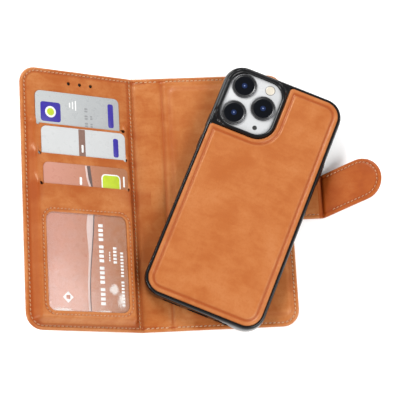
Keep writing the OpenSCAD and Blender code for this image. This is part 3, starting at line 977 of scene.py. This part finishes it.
def strap_loop():
    """The whole strap laid flat: tucked under the panel at one end, a slanted round tab at the other."""
    low, high = STRAP_Y - ROOT_W / 2, STRAP_Y + ROOT_W / 2
    across = TAB_R / math.cos(TAB_SLANT)
    start = 1.4
    middle = STRAP_Y + start * math.tan(TAB_SLANT)
    lower = [[STRAP_TUCK, low], [TAB_FOLD - 0.9, low], [TAB_FOLD + start, middle - across]]
    upper = [[TAB_FOLD + start, middle + across], [TAB_FOLD - 0.9, high], [STRAP_TUCK, high]]
    return np.concatenate([lower, tab_arc(TAB_R, 26), upper])


STRAP = strap_loop()


def tucked(x):
    """1 where the strap runs under the back panel, 0 outside it."""
    return 1 - smooth(BACK_X1 - 0.6, BACK_X1 + 0.6, x)


def strap_height(p, _=None):
    """The strap's upper face: thicker past its fold, with a sewn channel."""
    x = p[:, 0]
    near = edge_distance(p, STRAP)
    past = x - TAB_FOLD
    z = 1.6 + 0.6 * smooth(-0.4, 2.2, past) + groove(past, 0.8, 0.42) + groove(past - 2.2, 1.0, -0.1)
    z = z + groove(near - STRAP_SEAM, 0.5, 0.24) + 0.10 * smooth(3, 7, near) * smooth(1, 6, past)
    z = z + 0.05 * noise2(p, 9, 6) * smooth(3, 7, near)
    return roll(near, 0.9, z, 0.8) - 0.3 * tucked(x)


def strap_bottom(p, _):
    """The strap's underside, rounded up to its edge and thinner where it is tucked in."""
    return roll(edge_distance(p, STRAP), 0.8, 0.0, 0.75) + 0.3 * tucked(p[:, 0])


def strap_wear_and_painted_light(p, _):
    """Darker in the seam (pressed, with painted shade), the fold and a band past it (painted shade); painted
    highlight at the edge.
    """
    past = p[:, 0] - TAB_FOLD
    near = edge_distance(p, STRAP)
    # Painted shade: the tab is darkened from its fold onward.
    fold_shade_band = smooth(-0.6, 0.4, past) * (1 - 0.45 * smooth(7, 15, past))
    return 0.55 * bell(near - STRAP_SEAM, 0.55) + 0.6 * bell(past, 1.0) + 0.42 * fold_shade_band - 0.6 * bell(near, 0.9)


def strap_part(name, x0, x1, look):
    """The strap between two X stations, with the same section at the cut."""
    kept = []
    for a, b in zip(STRAP, np.roll(STRAP, -1, 0)):
        for cut_x in (x0, x1):
            if (a[0] - cut_x) * (b[0] - cut_x) < 0:
                kept.append(a + (b - a) * (cut_x - a[0]) / (b[0] - a[0]))
        kept.append(b)
    outline = np.array([p for p in kept if x0 - 1e-6 <= p[0] <= x1 + 1e-6])
    piece = slab(name, spaced(outline, 1.0), strap_height, strap_bottom, look, step=0.8, wear_and_painted_light=strap_wear_and_painted_light,
                 place=bend_tab)
    return piece


def make_strap(thread, folio):
    """The strap's root, lying flat, and its tab, a sheet that bends at the tab's fold, and their stitching.
    """
    root = strap_part("strap_root_leather", STRAP_TUCK, STRAP_MID, folio)
    # Painted shade: the tab's leather is a darker copy of the folio's.
    tab = strap_part("strap_tab_leather", STRAP_MID, PAST_TAB, leather("leather_strap_painted_shade", **SHADED_TAN, seed=77))
    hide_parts("strap_root_outer", "strap_root_lining")
    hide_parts("strap_tab_outer", "strap_tab_lining", "strap_magnets")
    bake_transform(root)
    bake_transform(tab)
    curve = tab_arc(TAB_R - STRAP_SEAM, 22)
    run = np.concatenate([[curve[0] - TAB_DIR * LOW_SEAM], curve, [curve[-1] - TAB_DIR * HIGH_SEAM]])
    tab_thread = stitch_mesh("strap_tab_stitches", [(run, False)], strap_height, bend_tab, thread,
                             **STRAP_THREAD)
    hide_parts("strap_tab_stitching")
    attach(tab_thread, "strap_tab")
    ys = [STRAP_Y + side * (ROOT_W / 2 - STRAP_SEAM) for side in (-1, 1)]
    root_runs = [(np.array([[ROOT_FOLD + 1.2, y], [TAB_FOLD - 2.2, y]]), False) for y in ys]
    root_thread = stitch_mesh("strap_root_stitches", root_runs, strap_height, None, thread, **STRAP_THREAD)
    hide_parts("strap_root_stitching")
    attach(root_thread, "strap_root")


# ---- Cards and the window film. A print is an outline, its ink, and how many prints it lies on ----

INK_T = 0.05                       # a print, half sunk into its card


def bar(u, y, width, height, r):
    """A small rounded bar centred at u, y on the cover."""
    return framed(at_u(u), y, width, height, min(r, width / 2.1, height / 2.1))


def blocks(u, y, groups, per_group, size, gap, group_gap=0.0):
    """Groups of small blocks running up the card, in place of numerals."""
    loops = []
    for _ in range(groups):
        for _ in range(per_group):
            loops.append(bar(u, y, *size, 0.2))
            y += size[1] + gap
        y += group_gap
    return loops


def wave_band(y0, y1, wide, narrow, shift=0.0):
    """A band whose right edge swings like a wave down the third card."""
    ys = np.linspace(y0, y1, 44)
    right = at_u(33.1 + 2.1 * np.sin((-ys - 31) / 17) - shift)
    width = narrow + (wide - narrow) * bell(ys + 16, 13) + 1.6 * smooth(4, 12, ys)
    return np.concatenate([np.column_stack([right, ys]), np.column_stack([right - width, ys])[::-1]])


def diamond(u, y, r, turn):
    """A square on its corner, turned by some degrees."""
    return arc(at_u(u), y, r, turn, turn + 360, 4)[:-1]


def silver_prints(inks, mouth):
    """A disc in a square tile, three bars, two faint rows of blocks and a tall bar."""
    middle = mouth + 7.3
    prints = [(rounded(at_u(61.3), mouth + 1.4, at_u(48.6), mouth + 13.2, 1.6), inks["violet"], 0),
              (circle(at_u(55.0), middle, 3.4, 28), inks["white"], 1),
              (circle(at_u(55.0), middle, 2.3, 28), inks["lime"], 2)]
    for k in range(3):
        prints.append((bar(42.6 - 1.9 * k, mouth + 12.6, 0.75, 3.0 + 1.5 * k, 0.3), inks["white"], 0))
    low = mouth + 0.9
    faint = blocks(32.2, low, 3, 2, (1.9, 1.0), 0.5, 1.5) + blocks(28.8, low, 2, 2, (1.4, 0.9), 0.5, 1.9)
    prints += [(loop, inks["grey"], 0) for loop in faint]
    return prints + [(bar(16.0, mouth + 8.7, 3.6, 14.6, 1.2), inks["violet"], 0)]


def white_prints(inks, mouth):
    """A stripe down the whole card with a small bar on it, and a tall bar."""
    return [(bar(36.2, CARD_TOPS[1] - CARD_L / 2, 4.2, CARD_L - 0.6, 0.2), inks["taupe"], 0),
            (bar(36.0, mouth + 4.6, 1.3, 4.6, 0.5), inks["white"], 1),
            (bar(14.2, mouth + 7.0, 3.4, 11.4, 1.2), inks["violet"], 0)]


def rose_prints(inks, mouth):
    """A wave with a dark line, a green rounded square, rows of white blocks and a diamond."""
    white = inks["white"]
    low, high = CARD_TOPS[2] - CARD_L + 0.4, CARD_TOPS[2] - 0.4
    prints = [(wave_band(low, high, 4.6, 1.5), inks["pale"], 0),
              (wave_band(low, high, 0.75, 0.6, 0.3), inks["dark"], 1),
              (rounded(at_u(25.3), mouth - 4, at_u(12.9), mouth + 8.4, 2.6), white, 0),
              (rounded(at_u(24.6), mouth - 3.3, at_u(13.6), mouth + 7.7, 2.0), inks["lime"], 1),
              (bar(38.6, mouth + 3.0, 1.5, 4.6, 0.5), white, 0),
              (bar(10.6, mouth + 4.6, 1.0, 6.4, 0.4), white, 0)]
    rows = (blocks(27.2, -61.5, 4, 4, (2.9, 1.75), 0.95, 1.6) + blocks(18.6, -37.2, 1, 5, (2.2, 1.3), 0.75)
            + blocks(22.0, -36.2, 1, 4, (0.8, 0.9), 0.6) + blocks(14.2, -62.0, 2, 8, (1.9, 1.15), 0.75, 1.8))
    prints += [(loop, white, 0) for loop in rows]
    mark = (49.2, -58.5)
    return prints + [(diamond(*mark, 3.3, 0), white, 0), (diamond(*mark, 1.7, 45), inks["rose"], 1)]


def make_cards():
    """Three cards, each with its stock and its prints joined as one piece."""
    inks = {
        "white": ink("ink_white", (0.60, 0.60, 0.59)),
        "violet": ink("ink_violet", (0.012, 0.002, 0.21)),
        "grey": ink("ink_grey", (0.19, 0.195, 0.20)),
        "taupe": ink("ink_taupe", (0.155, 0.082, 0.060)),
        "lime": ink("ink_lime", (0.33, 0.42, 0.006)),
        "pale": ink("ink_pale_wave", (0.46, 0.34, 0.31)),
        "dark": ink("ink_dark_line", (0.08, 0.05, 0.045)),
        "rose": card_face("card_rose", (0.36, 0.165, 0.120), (0.250, 0.092, 0.032), 0.03),
    }
    faces = (card_face("card_silver", (0.305, 0.315, 0.315), (0.245, 0.255, 0.26), 0.18),
             card_face("card_white", (0.375, 0.38, 0.38), (0.37, 0.378, 0.38), 0.02), inks["rose"])
    for k, make_prints in enumerate((silver_prints, white_prints, rose_prints)):
        x, y, z = at_u(CARD_U[k]), CARD_TOPS[k], CARD_Z[k]
        loop = rounded(x - CARD_W / 2, y - CARD_L, x + CARD_W / 2, y, CARD_R)
        parts = [plate(f"card_{k + 1}_stock", loop, z, z + CARD_T, 0.12, turn_to_cover, faces[k])]
        for i, (shape, shade, layer) in enumerate(make_prints(inks, MOUTHS[k])):
            low = z + CARD_T - 0.02 + 0.012 * layer
            name = f"card_{k + 1}_ink_{i}"
            parts.append(plate(name, shape, low, low + INK_T, 0.01, turn_to_cover, shade))
        card = join(parts, f"card_{k + 1}_look")
        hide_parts(f"card_{k + 1}")
        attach(card, f"card_{k + 1}")


def make_film():
    """The clear window, slightly wavy and pulled tight at its rim."""
    rim = 1.6
    loop = spaced(framed(at_u(POCKET_U), ID_Y, ID_W, ID_H, ID_R, rim), 2.0)

    def top(p, near):
        bulge = smooth(rim, 8, near)
        return FILM_Z + 0.13 + bulge * (0.14 + 0.13 * noise2(p, 15, 4) + 0.05 * noise2(p, 6, 9))

    def under(p, near):
        return top(p, near) - 0.08

    obj = slab("window_film_sheet", loop, top, under, film_material(), step=1.6, place=turn_to_cover,
               rings=(0.8, 1.8), sharp=0)
    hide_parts("window_film")
    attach(obj, "cover")


# ---- The inner case ----

RIM_IN = 2.0                       # the bumper's rim, seen from above
WALL = 1.5                         # how far in from the outline the camera deck starts
DECK_TOP, DECK_LOW, DECK_EDGE = 11.1, 9.2, 10.4
LEATHER_LOW, LEATHER_EDGE = 10.05, 10.5
LEATHER_GROOVE = 3.0               # the pressed line, in from the leather's edge
HALF_CW, HALF_CL = CASE_W / 2, CASE_L / 2
OPENING = framed(CAM_X, CAM_Y, CAM_W, CAM_L, CAM_R, 0.2)
HOLLOW = 2.6                       # the leather's hollow corner stands off the camera block by this
CORNER_X = CAM_X + CAM_W / 2 + HOLLOW
CORNER_Y = CAM_Y - CAM_L / 2 - HOLLOW
CORNER_ARC = CAM_R + HOLLOW
LENSES = ((-24.1, 62.4), (-24.1, 44.6), (-8.9, 53.4))
PORTS = ((-21.6, -10.6, 3.2), (-6.5, 6.5, 4.6), (10.0, 18.5, 3.2))     # X from, X to, height
PORT_Z = 5.2
KEYS = ((-1, 36, 10), (-1, 22, 10), (1, 30, 16))                       # side, Y, length
KEY_Z = 5.4


def sweep(name, loop, profile, place, look, sharp=35):
    """A closed profile of (inset, height) pairs carried round a closed outline."""
    verts = []
    for spot, normal in zip(loop, inward(loop)):
        verts += [(*(spot + normal * inset), z) for inset, z in profile]
    count, sides = len(loop), len(profile)
    faces = []
    for i in range(count):
        a, b = i * sides, (i + 1) % count * sides
        for k in range(sides):
            m = (k + 1) % sides
            faces.append((a + k, a + m, b + m, b + k))
    return make_object(name, place(verts), faces, look, sharp=sharp)


def half_round(cx, cz, r0, r1, a0, a1, steps):
    """Profile points on an ellipse quarter: r0 along the inset, r1 along the height."""
    angles = np.radians(np.linspace(a0, a1, steps))
    return [(cx - r0 * math.cos(a), cz + r1 * math.sin(a)) for a in angles]


def cut(obj, tools):
    """Cuts the tools out of obj, then removes them."""
    for tool in tools:
        modifier = obj.modifiers.new("cut", "BOOLEAN")
        modifier.operation = "DIFFERENCE"
        modifier.solver = "EXACT"
        modifier.object = tool
    bpy.context.view_layer.update()
    shaped = bpy.data.meshes.new_from_object(obj.evaluated_get(bpy.context.evaluated_depsgraph_get()))
    obj.modifiers.clear()
    obj.data = shaped
    for tool in tools:
        bpy.data.objects.remove(tool)


def port_block(name, x0, x1, h, depths, look=None):
    """A solid slot shape with round ends, between two depths behind the case's lower end."""
    r = h / 2
    outline = np.concatenate([arc(x1 - r, PORT_Z, r, -90, 90, 10), arc(x0 + r, PORT_Z, r, 90, 270, 10)])
    verts = [(x, -HALF_CL + depth, z) for depth in depths for x, z in outline]
    return make_object(name, place_case(verts), ring_faces(2, len(outline)), look, sharp=40)


def make_port_shade():
    """Black blocks behind the bumper's three slots, painted shade for the phone's dark openings."""
    # Painted shade: black blocks stand in for the shade inside the phone's openings.
    black = plastic("port_shade_black", (0.006, 0.006, 0.007), 0.5)
    grow = 0.4
    shade_blocks = [port_block(f"port_{i}", x0 - grow, x1 + grow, h + 2 * grow, (1.2, 1.85), black)
             for i, (x0, x1, h) in enumerate(PORTS)]
    port_shade = join(shade_blocks, "ports_painted_shade")
    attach(port_shade, "inner_case")


def bumper_ring(black):
    """The side wall, with its lips, swept round the case, with the ports cut through."""
    loop = spaced(rounded(-HALF_CW, -HALF_CL, HALF_CW, HALF_CL, CASE_R), 1.4)
    profile = [(3.1, 0.88), (3.1, 0.2), (2.9, 0.0)]
    profile += half_round(1.7, 1.9, 1.7, 1.9, -90, 0, 7)
    profile += [(-0.12, 4.0), (-0.16, 5.6), (-0.1, 7.4)]
    profile += half_round(1.35, 8.6, 1.35, 2.5, 0, 90, 8)
    profile += [(1.8, 11.06), (RIM_IN, 10.85), (RIM_IN + 0.1, 10.1), (1.1, 9.0), (1.1, 0.92)]
    ring = sweep("bumper_ring", loop, profile[::-1], place_case, black)
    cut(ring, [port_block("port_tool", *port, (-1.5, 2.4)) for port in PORTS])
    ring.data.set_sharp_from_angle(angle=math.radians(35))
    return ring


def deck_top(p, near):
    """The camera deck, raised to a lip round the opening."""
    ring_out = edge_distance(p, OPENING)
    lift = 1.3 * smooth(2.6, 1.7, ring_out) - 0.5 * pressed_edge(ring_out, 0.8)
    return roll(near, 0.6, DECK_TOP + lift, DECK_EDGE)


def camera_deck(black):
    """The black corner plate round the camera block."""
    corner = [[[-HALF_CW + WALL, CORNER_Y + 0.1]],
              arc(CORNER_X - CORNER_ARC, CORNER_Y + CORNER_ARC, CORNER_ARC - 0.1, -90, 0, 18),
              [[CORNER_X - 0.1, HALF_CL - WALL]],
              arc(-HALF_CW + CASE_R, HALF_CL - CASE_R, CASE_R - WALL, 90, 180, 14)]
    return slab("camera_deck", spaced(np.concatenate(corner), 0.9), deck_top, level(DECK_LOW), black, (),
                [spaced(OPENING, 0.9)], step=0.8, place=place_case, rings=(0.15, 0.35, 0.6, 1.1),
                hole_rings=(0.15, 0.4, 0.8, 1.3, 1.7, 2.0, 2.3, 2.6))


def key_bump(side, y, length, black):
    """A moulded button cover: a low rounded ridge on the side wall."""
    verts = []
    stations, sides = 15, 10
    for t in np.linspace(-1, 1, stations):
        swell = max(0.0, 1 - abs(t) ** 6) ** 0.5
        out, high = 0.62 * swell, 1.15 * (0.35 + 0.65 * swell)
        for a in turns(sides):
            x = side * (HALF_CW - 0.1 + out * math.cos(a))
            verts.append((x, y + t * length / 2, KEY_Z + high * math.sin(a)))
    name = f"key_bump_{'left' if side < 0 else 'right'}_{y}"
    return make_object(name, place_case(verts), ring_faces(stations, sides), black, sharp=60)


def make_bumper(black):
    """The black side wall, the deck round the camera block and the three button covers."""
    ring = bumper_ring(black)
    deck = camera_deck(black)
    keys = [key_bump(*key, black) for key in KEYS]
    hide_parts("case_bumper")
    for piece in [ring, deck] + keys:
        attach(piece, "inner_case")


def leather_plate_loop():
    """The leather back's outline: a rounded rectangle with a hollow corner for the camera."""
    x0, x1 = -HALF_CW + RIM_IN, HALF_CW - RIM_IN
    y0, y1 = -HALF_CL + RIM_IN, HALF_CL - RIM_IN
    r = CASE_R - RIM_IN
    ease = 2.2
    return np.concatenate([
        arc(x0 + r, y0 + r, r, 180, 270, 14),
        arc(x1 - r, y0 + r, r, 270, 360, 14),
        arc(x1 - r, y1 - r, r, 0, 90, 14),
        arc(CORNER_X + ease, y1 - ease, ease, 90, 180, 6),
        arc(CORNER_X - CORNER_ARC, CORNER_Y + CORNER_ARC, CORNER_ARC, 0, -90, 20),
        arc(x0 + ease, CORNER_Y - ease, ease, 90, 180, 6),
    ])


def case_leather_height(p, near):
    """A padded face with a pressed line round it and a ridge inside the line."""
    z = CASE_TOP + groove(near - LEATHER_GROOVE, 0.85, 0.6) + 0.16 * bell(near - 4.7, 0.7)
    z = z + 0.34 * smooth(3.4, 16, near) + 0.05 * noise2(p, 14, 7) * smooth(4, 10, near)
    return roll(near, 1.15, z, LEATHER_EDGE)


def case_leather_wear_and_painted_light(_, near):
    """Darker in the pressed line (pressed, with painted shade) and at the rim's edge (painted shade); painted
    highlight beside the line.
    """
    highlight_crests = bell(near - 1.3, 0.6) + bell(near - 4.8, 0.5)
    return 0.9 * bell(near - LEATHER_GROOVE, 1.0) - 0.4 * highlight_crests + 0.3 * bell(near, 0.5)


def make_case_leather():
    """The inner case's padded leather back."""
    look = leather("leather_case", **CASE_TAN, seed=120, gloss=0.36)
    obj = slab("case_leather_pad", spaced(leather_plate_loop(), 1.0), case_leather_height, level(LEATHER_LOW),
               look, step=1.1, wear_and_painted_light=case_leather_wear_and_painted_light, place=place_case,
               rings=(0.12, 0.3, 0.6, 1.0, 1.5, 2.0, 2.4, 2.8, 3.2, 3.6, 4.0, 4.6, 5.4), sharp=45)
    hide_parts("case_leather_back", "case_steel_plate")
    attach(obj, "inner_case")


# Turned shapes of the camera block: radius and height, from the outside in
RING = ((7.5, 10.28), (7.5, 11.15), (7.42, 11.38), (7.25, 11.48), (7.05, 11.48), (6.92, 11.38), (6.9, 10.3))
TUBE = ((6.95, 10.28), (6.95, 11.3), (6.7, 11.36), (6.35, 11.3), (6.0, 11.12), (5.6, 11.0), (5.4, 10.3))
# The coating and centre discs are painted reflection: a dark blue reflection and a pale blue glint.
FRONT = ((5.9, 10.3), (5.9, 11.08), (5.2, 11.16), (3.8, 11.2), (2.6, 11.22))
BLUE_REFLECTION_PROFILE = ((1.6, 10.3), (1.6, 11.23), (1.4, 11.26), (1.0, 11.28))
GLINT_PROFILE = ((0.42, 10.3), (0.42, 11.29), (0.3, 11.30))
BULB = ((2.7, 10.28), (2.7, 10.42), (2.55, 10.5), (2.3, 10.52), (2.2, 10.46), (1.4, 10.5), (0.6, 10.52))
BULB_RIM = ((3.0, 10.28), (3.0, 10.36), (2.9, 10.42), (2.7, 10.4), (2.68, 10.3))
MICROPHONE = ((1.4, 10.2), (1.4, 10.31), (1.25, 10.33), (0.5, 10.33))
FLASH_AT = (-8.8, 65.6)
MICROPHONE_AT = (-9.3, 40.6)


def lathe(name, x, y, profile, look):
    """A turned shape about a vertical axis at (x, y) in the case."""
    sides = 48
    verts = [(x + r * math.cos(a), y + r * math.sin(a), z) for r, z in profile for a in turns(sides)]
    return make_object(name, place_case(verts), ring_faces(len(profile), sides), look, sharp=30)


def lens_parts(group):
    """The same turned parts at each of the three lenses."""
    return [lathe(f"{name}_{i}", x, y, profile, look)
            for i, (x, y) in enumerate(LENSES) for name, profile, look in group]


def make_camera_block():
    """The phone's camera plate with its three lenses, flash and microphone."""
    white = glass_face("camera_plate_white", (0.42, 0.425, 0.43), 0.3, 0.2)
    steel = metal("lens_ring_steel", (0.115, 0.115, 0.12), 0.28)
    barrel = plastic("lens_barrel_black", (0.006, 0.006, 0.007), 0.3)
    front = glass_face("lens_front_glass", (0.003, 0.0035, 0.005), 0.06, 0.0, 1.25)
    # Painted reflection: the blue coating disc; painted glint: the pale blue centre disc.
    coating_reflection = glass_face("lens_coating_painted_reflection", (0.008, 0.016, 0.052), 0.08, 0.0, 1.3)
    centre_glint = glass_face("lens_centre_painted_glint", (0.16, 0.20, 0.34), 0.10, 0.0, 1.3)
    lamp = glass_face("flash_cream", (0.46, 0.42, 0.35), 0.3, 0.2)
    outline = framed(CAM_X, CAM_Y, CAM_W, CAM_L, CAM_R)
    top = plate("camera_plate_look", outline, 9.0, 10.3, 0.18, place_case, white)
    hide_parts("camera_plate")
    rings = join(lens_parts((("ring", RING, steel), ("tube", TUBE, barrel))), "lens_rings_look")
    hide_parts("lens_rings")
    glass = join(lens_parts((("glass", FRONT, front), ("inner", BLUE_REFLECTION_PROFILE, coating_reflection), ("glint", GLINT_PROFILE, centre_glint))),
                 "lens_glass_look")
    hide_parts("lens_glasses")
    bulb = lathe("flash_bulb", *FLASH_AT, BULB, lamp)
    flash = join([bulb, lathe("flash_rim", *FLASH_AT, BULB_RIM, steel)], "flash_look")
    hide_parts("flash_lens")
    # Painted shade: a black disc stands in for the microphone hole's dark inside.
    black = plastic("mic_hole_painted_shade", (0.004, 0.004, 0.004), 0.6)
    mic = lathe("microphone_hole", *MICROPHONE_AT, MICROPHONE, black)
    for piece, name in ((top, "back_glass"), (rings, "lens_ring"), (glass, "lens_glass"), (flash, "flash"),
                        (mic, "tpu")):
        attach(piece, "inner_case")


def paint_hidden_nodes():
    """Materials for the CAD pieces that stay as they are."""
    looks = {
        "phone_frame": metal("phone_band", (0.70, 0.71, 0.72), 0.22),
        "phone_screen": glass_face("phone_screen_black", (0.010, 0.011, 0.013), 0.05),
        "phone_back_glass": glass_face("phone_back_white", (0.72, 0.73, 0.735), 0.2),
    }
    for name, look in looks.items():
        mesh = NODES[name].data
        mesh.materials.clear()
        mesh.materials.append(look)


# ---- The set ----

def make_floor():
    """A wide pale sheet just under the case."""
    mesh = bpy.data.meshes.new("floor")
    half, drop = 3.0, 0.0006
    corners = [(x * half, y * half, 0) for x, y in ((-1, -1), (1, -1), (1, 1), (-1, 1))]
    mesh.from_pydata(corners, [], [(0, 1, 2, 3)])
    floor = place_object("floor", mesh)
    floor.location.z = -drop
    s = Shader("floor_white", Roughness=0.9, Specular_IOR_Level=0.1)
    s.colour(s.mix(s.span(s.noise(s.object_mm(), 300), 0.4, 0.6), (0.93, 0.93, 0.93), (0.94, 0.94, 0.94)))
    mesh.materials.append(s.mat)


def area_light(name, place, size, power):
    """A soft rectangular light that points at the case."""
    lamp = bpy.data.lights.new(name, "AREA")
    lamp.shape = "RECTANGLE"
    lamp.size, lamp.size_y = size
    lamp.energy = power
    obj = place_object(name, lamp)
    obj.location = place
    obj.rotation_euler = (-Vector(place)).to_track_quat("-Z", "Y").to_euler()


def make_camera():
    """The view of the photograph: high up, a little from the left, and rolled."""
    target = Vector((-0.0171, 0.0011, 0.0))
    distance = 0.8636
    elevation, azimuth, rolled = math.radians(75.8), math.radians(-18.3), math.radians(15.56)
    back = Vector((math.sin(azimuth) * math.cos(elevation), -math.cos(azimuth) * math.cos(elevation),
                   math.sin(elevation)))
    right = (-back).cross(Vector((0, 0, 1))).normalized()
    up = right.cross(-back)
    across = right * math.cos(rolled) + up * math.sin(rolled)
    above = -right * math.sin(rolled) + up * math.cos(rolled)
    data = bpy.data.cameras.new("camera")
    data.sensor_width = 36
    data.lens = 131.35
    data.clip_start = 0.05
    camera = place_object("camera", data)
    spin = Matrix((across, above, back)).transposed().to_4x4()
    camera.matrix_world = Matrix.Translation(target + back * distance) @ spin
    bpy.context.scene.camera = camera


def make_world():
    """A pale surround that is dimmer overhead, where the photographer stands."""
    world = bpy.data.worlds.new("studio")
    bpy.context.scene.world = world
    world.use_nodes = True
    tree = world.node_tree
    background = tree.nodes["Background"]
    background.inputs[0].default_value = (1, 1, 1, 1)
    direction = tree.nodes.new("ShaderNodeTexCoord").outputs["Generated"]
    split = tree.nodes.new("ShaderNodeSeparateXYZ")
    tree.links.new(direction, split.inputs[0])
    overhead = tree.nodes.new("ShaderNodeMapRange")
    overhead.interpolation_type = "SMOOTHSTEP"
    tree.links.new(split.outputs["Z"], overhead.inputs["Value"])
    for key, number in zip(("From Min", "From Max", "To Min", "To Max"), (0.72, 0.93, 1.0, 0.28)):
        overhead.inputs[key].default_value = number
    tree.links.new(overhead.outputs[0], background.inputs[1])


folio_look = leather("leather_folio", **TAN, seed=3, gloss=0.34)
make_cover(folio_look)
make_speaker_hole_shade()
make_back(folio_look)
tan_thread = make_stitching()
make_strap(tan_thread, folio_look)
make_cards()
make_film()
make_bumper(plastic("case_black", (0.0045, 0.0045, 0.005), 0.13, 0.8, 0.015, ior=1.36))
make_port_shade()
make_case_leather()
make_camera_block()
paint_hidden_nodes()

make_floor()
make_world()
make_camera()
bpy.context.scene.view_settings.view_transform = "Standard"
area_light("key", (-0.35, 0.75, 0.85), (0.5, 0.3), 11.5)
area_light("fill", (0.6, -0.5, 0.9), (0.8, 0.6), 12.0)
area_light("low_left", (-0.9, -0.3, 0.45), (0.3, 0.6), 4.5)
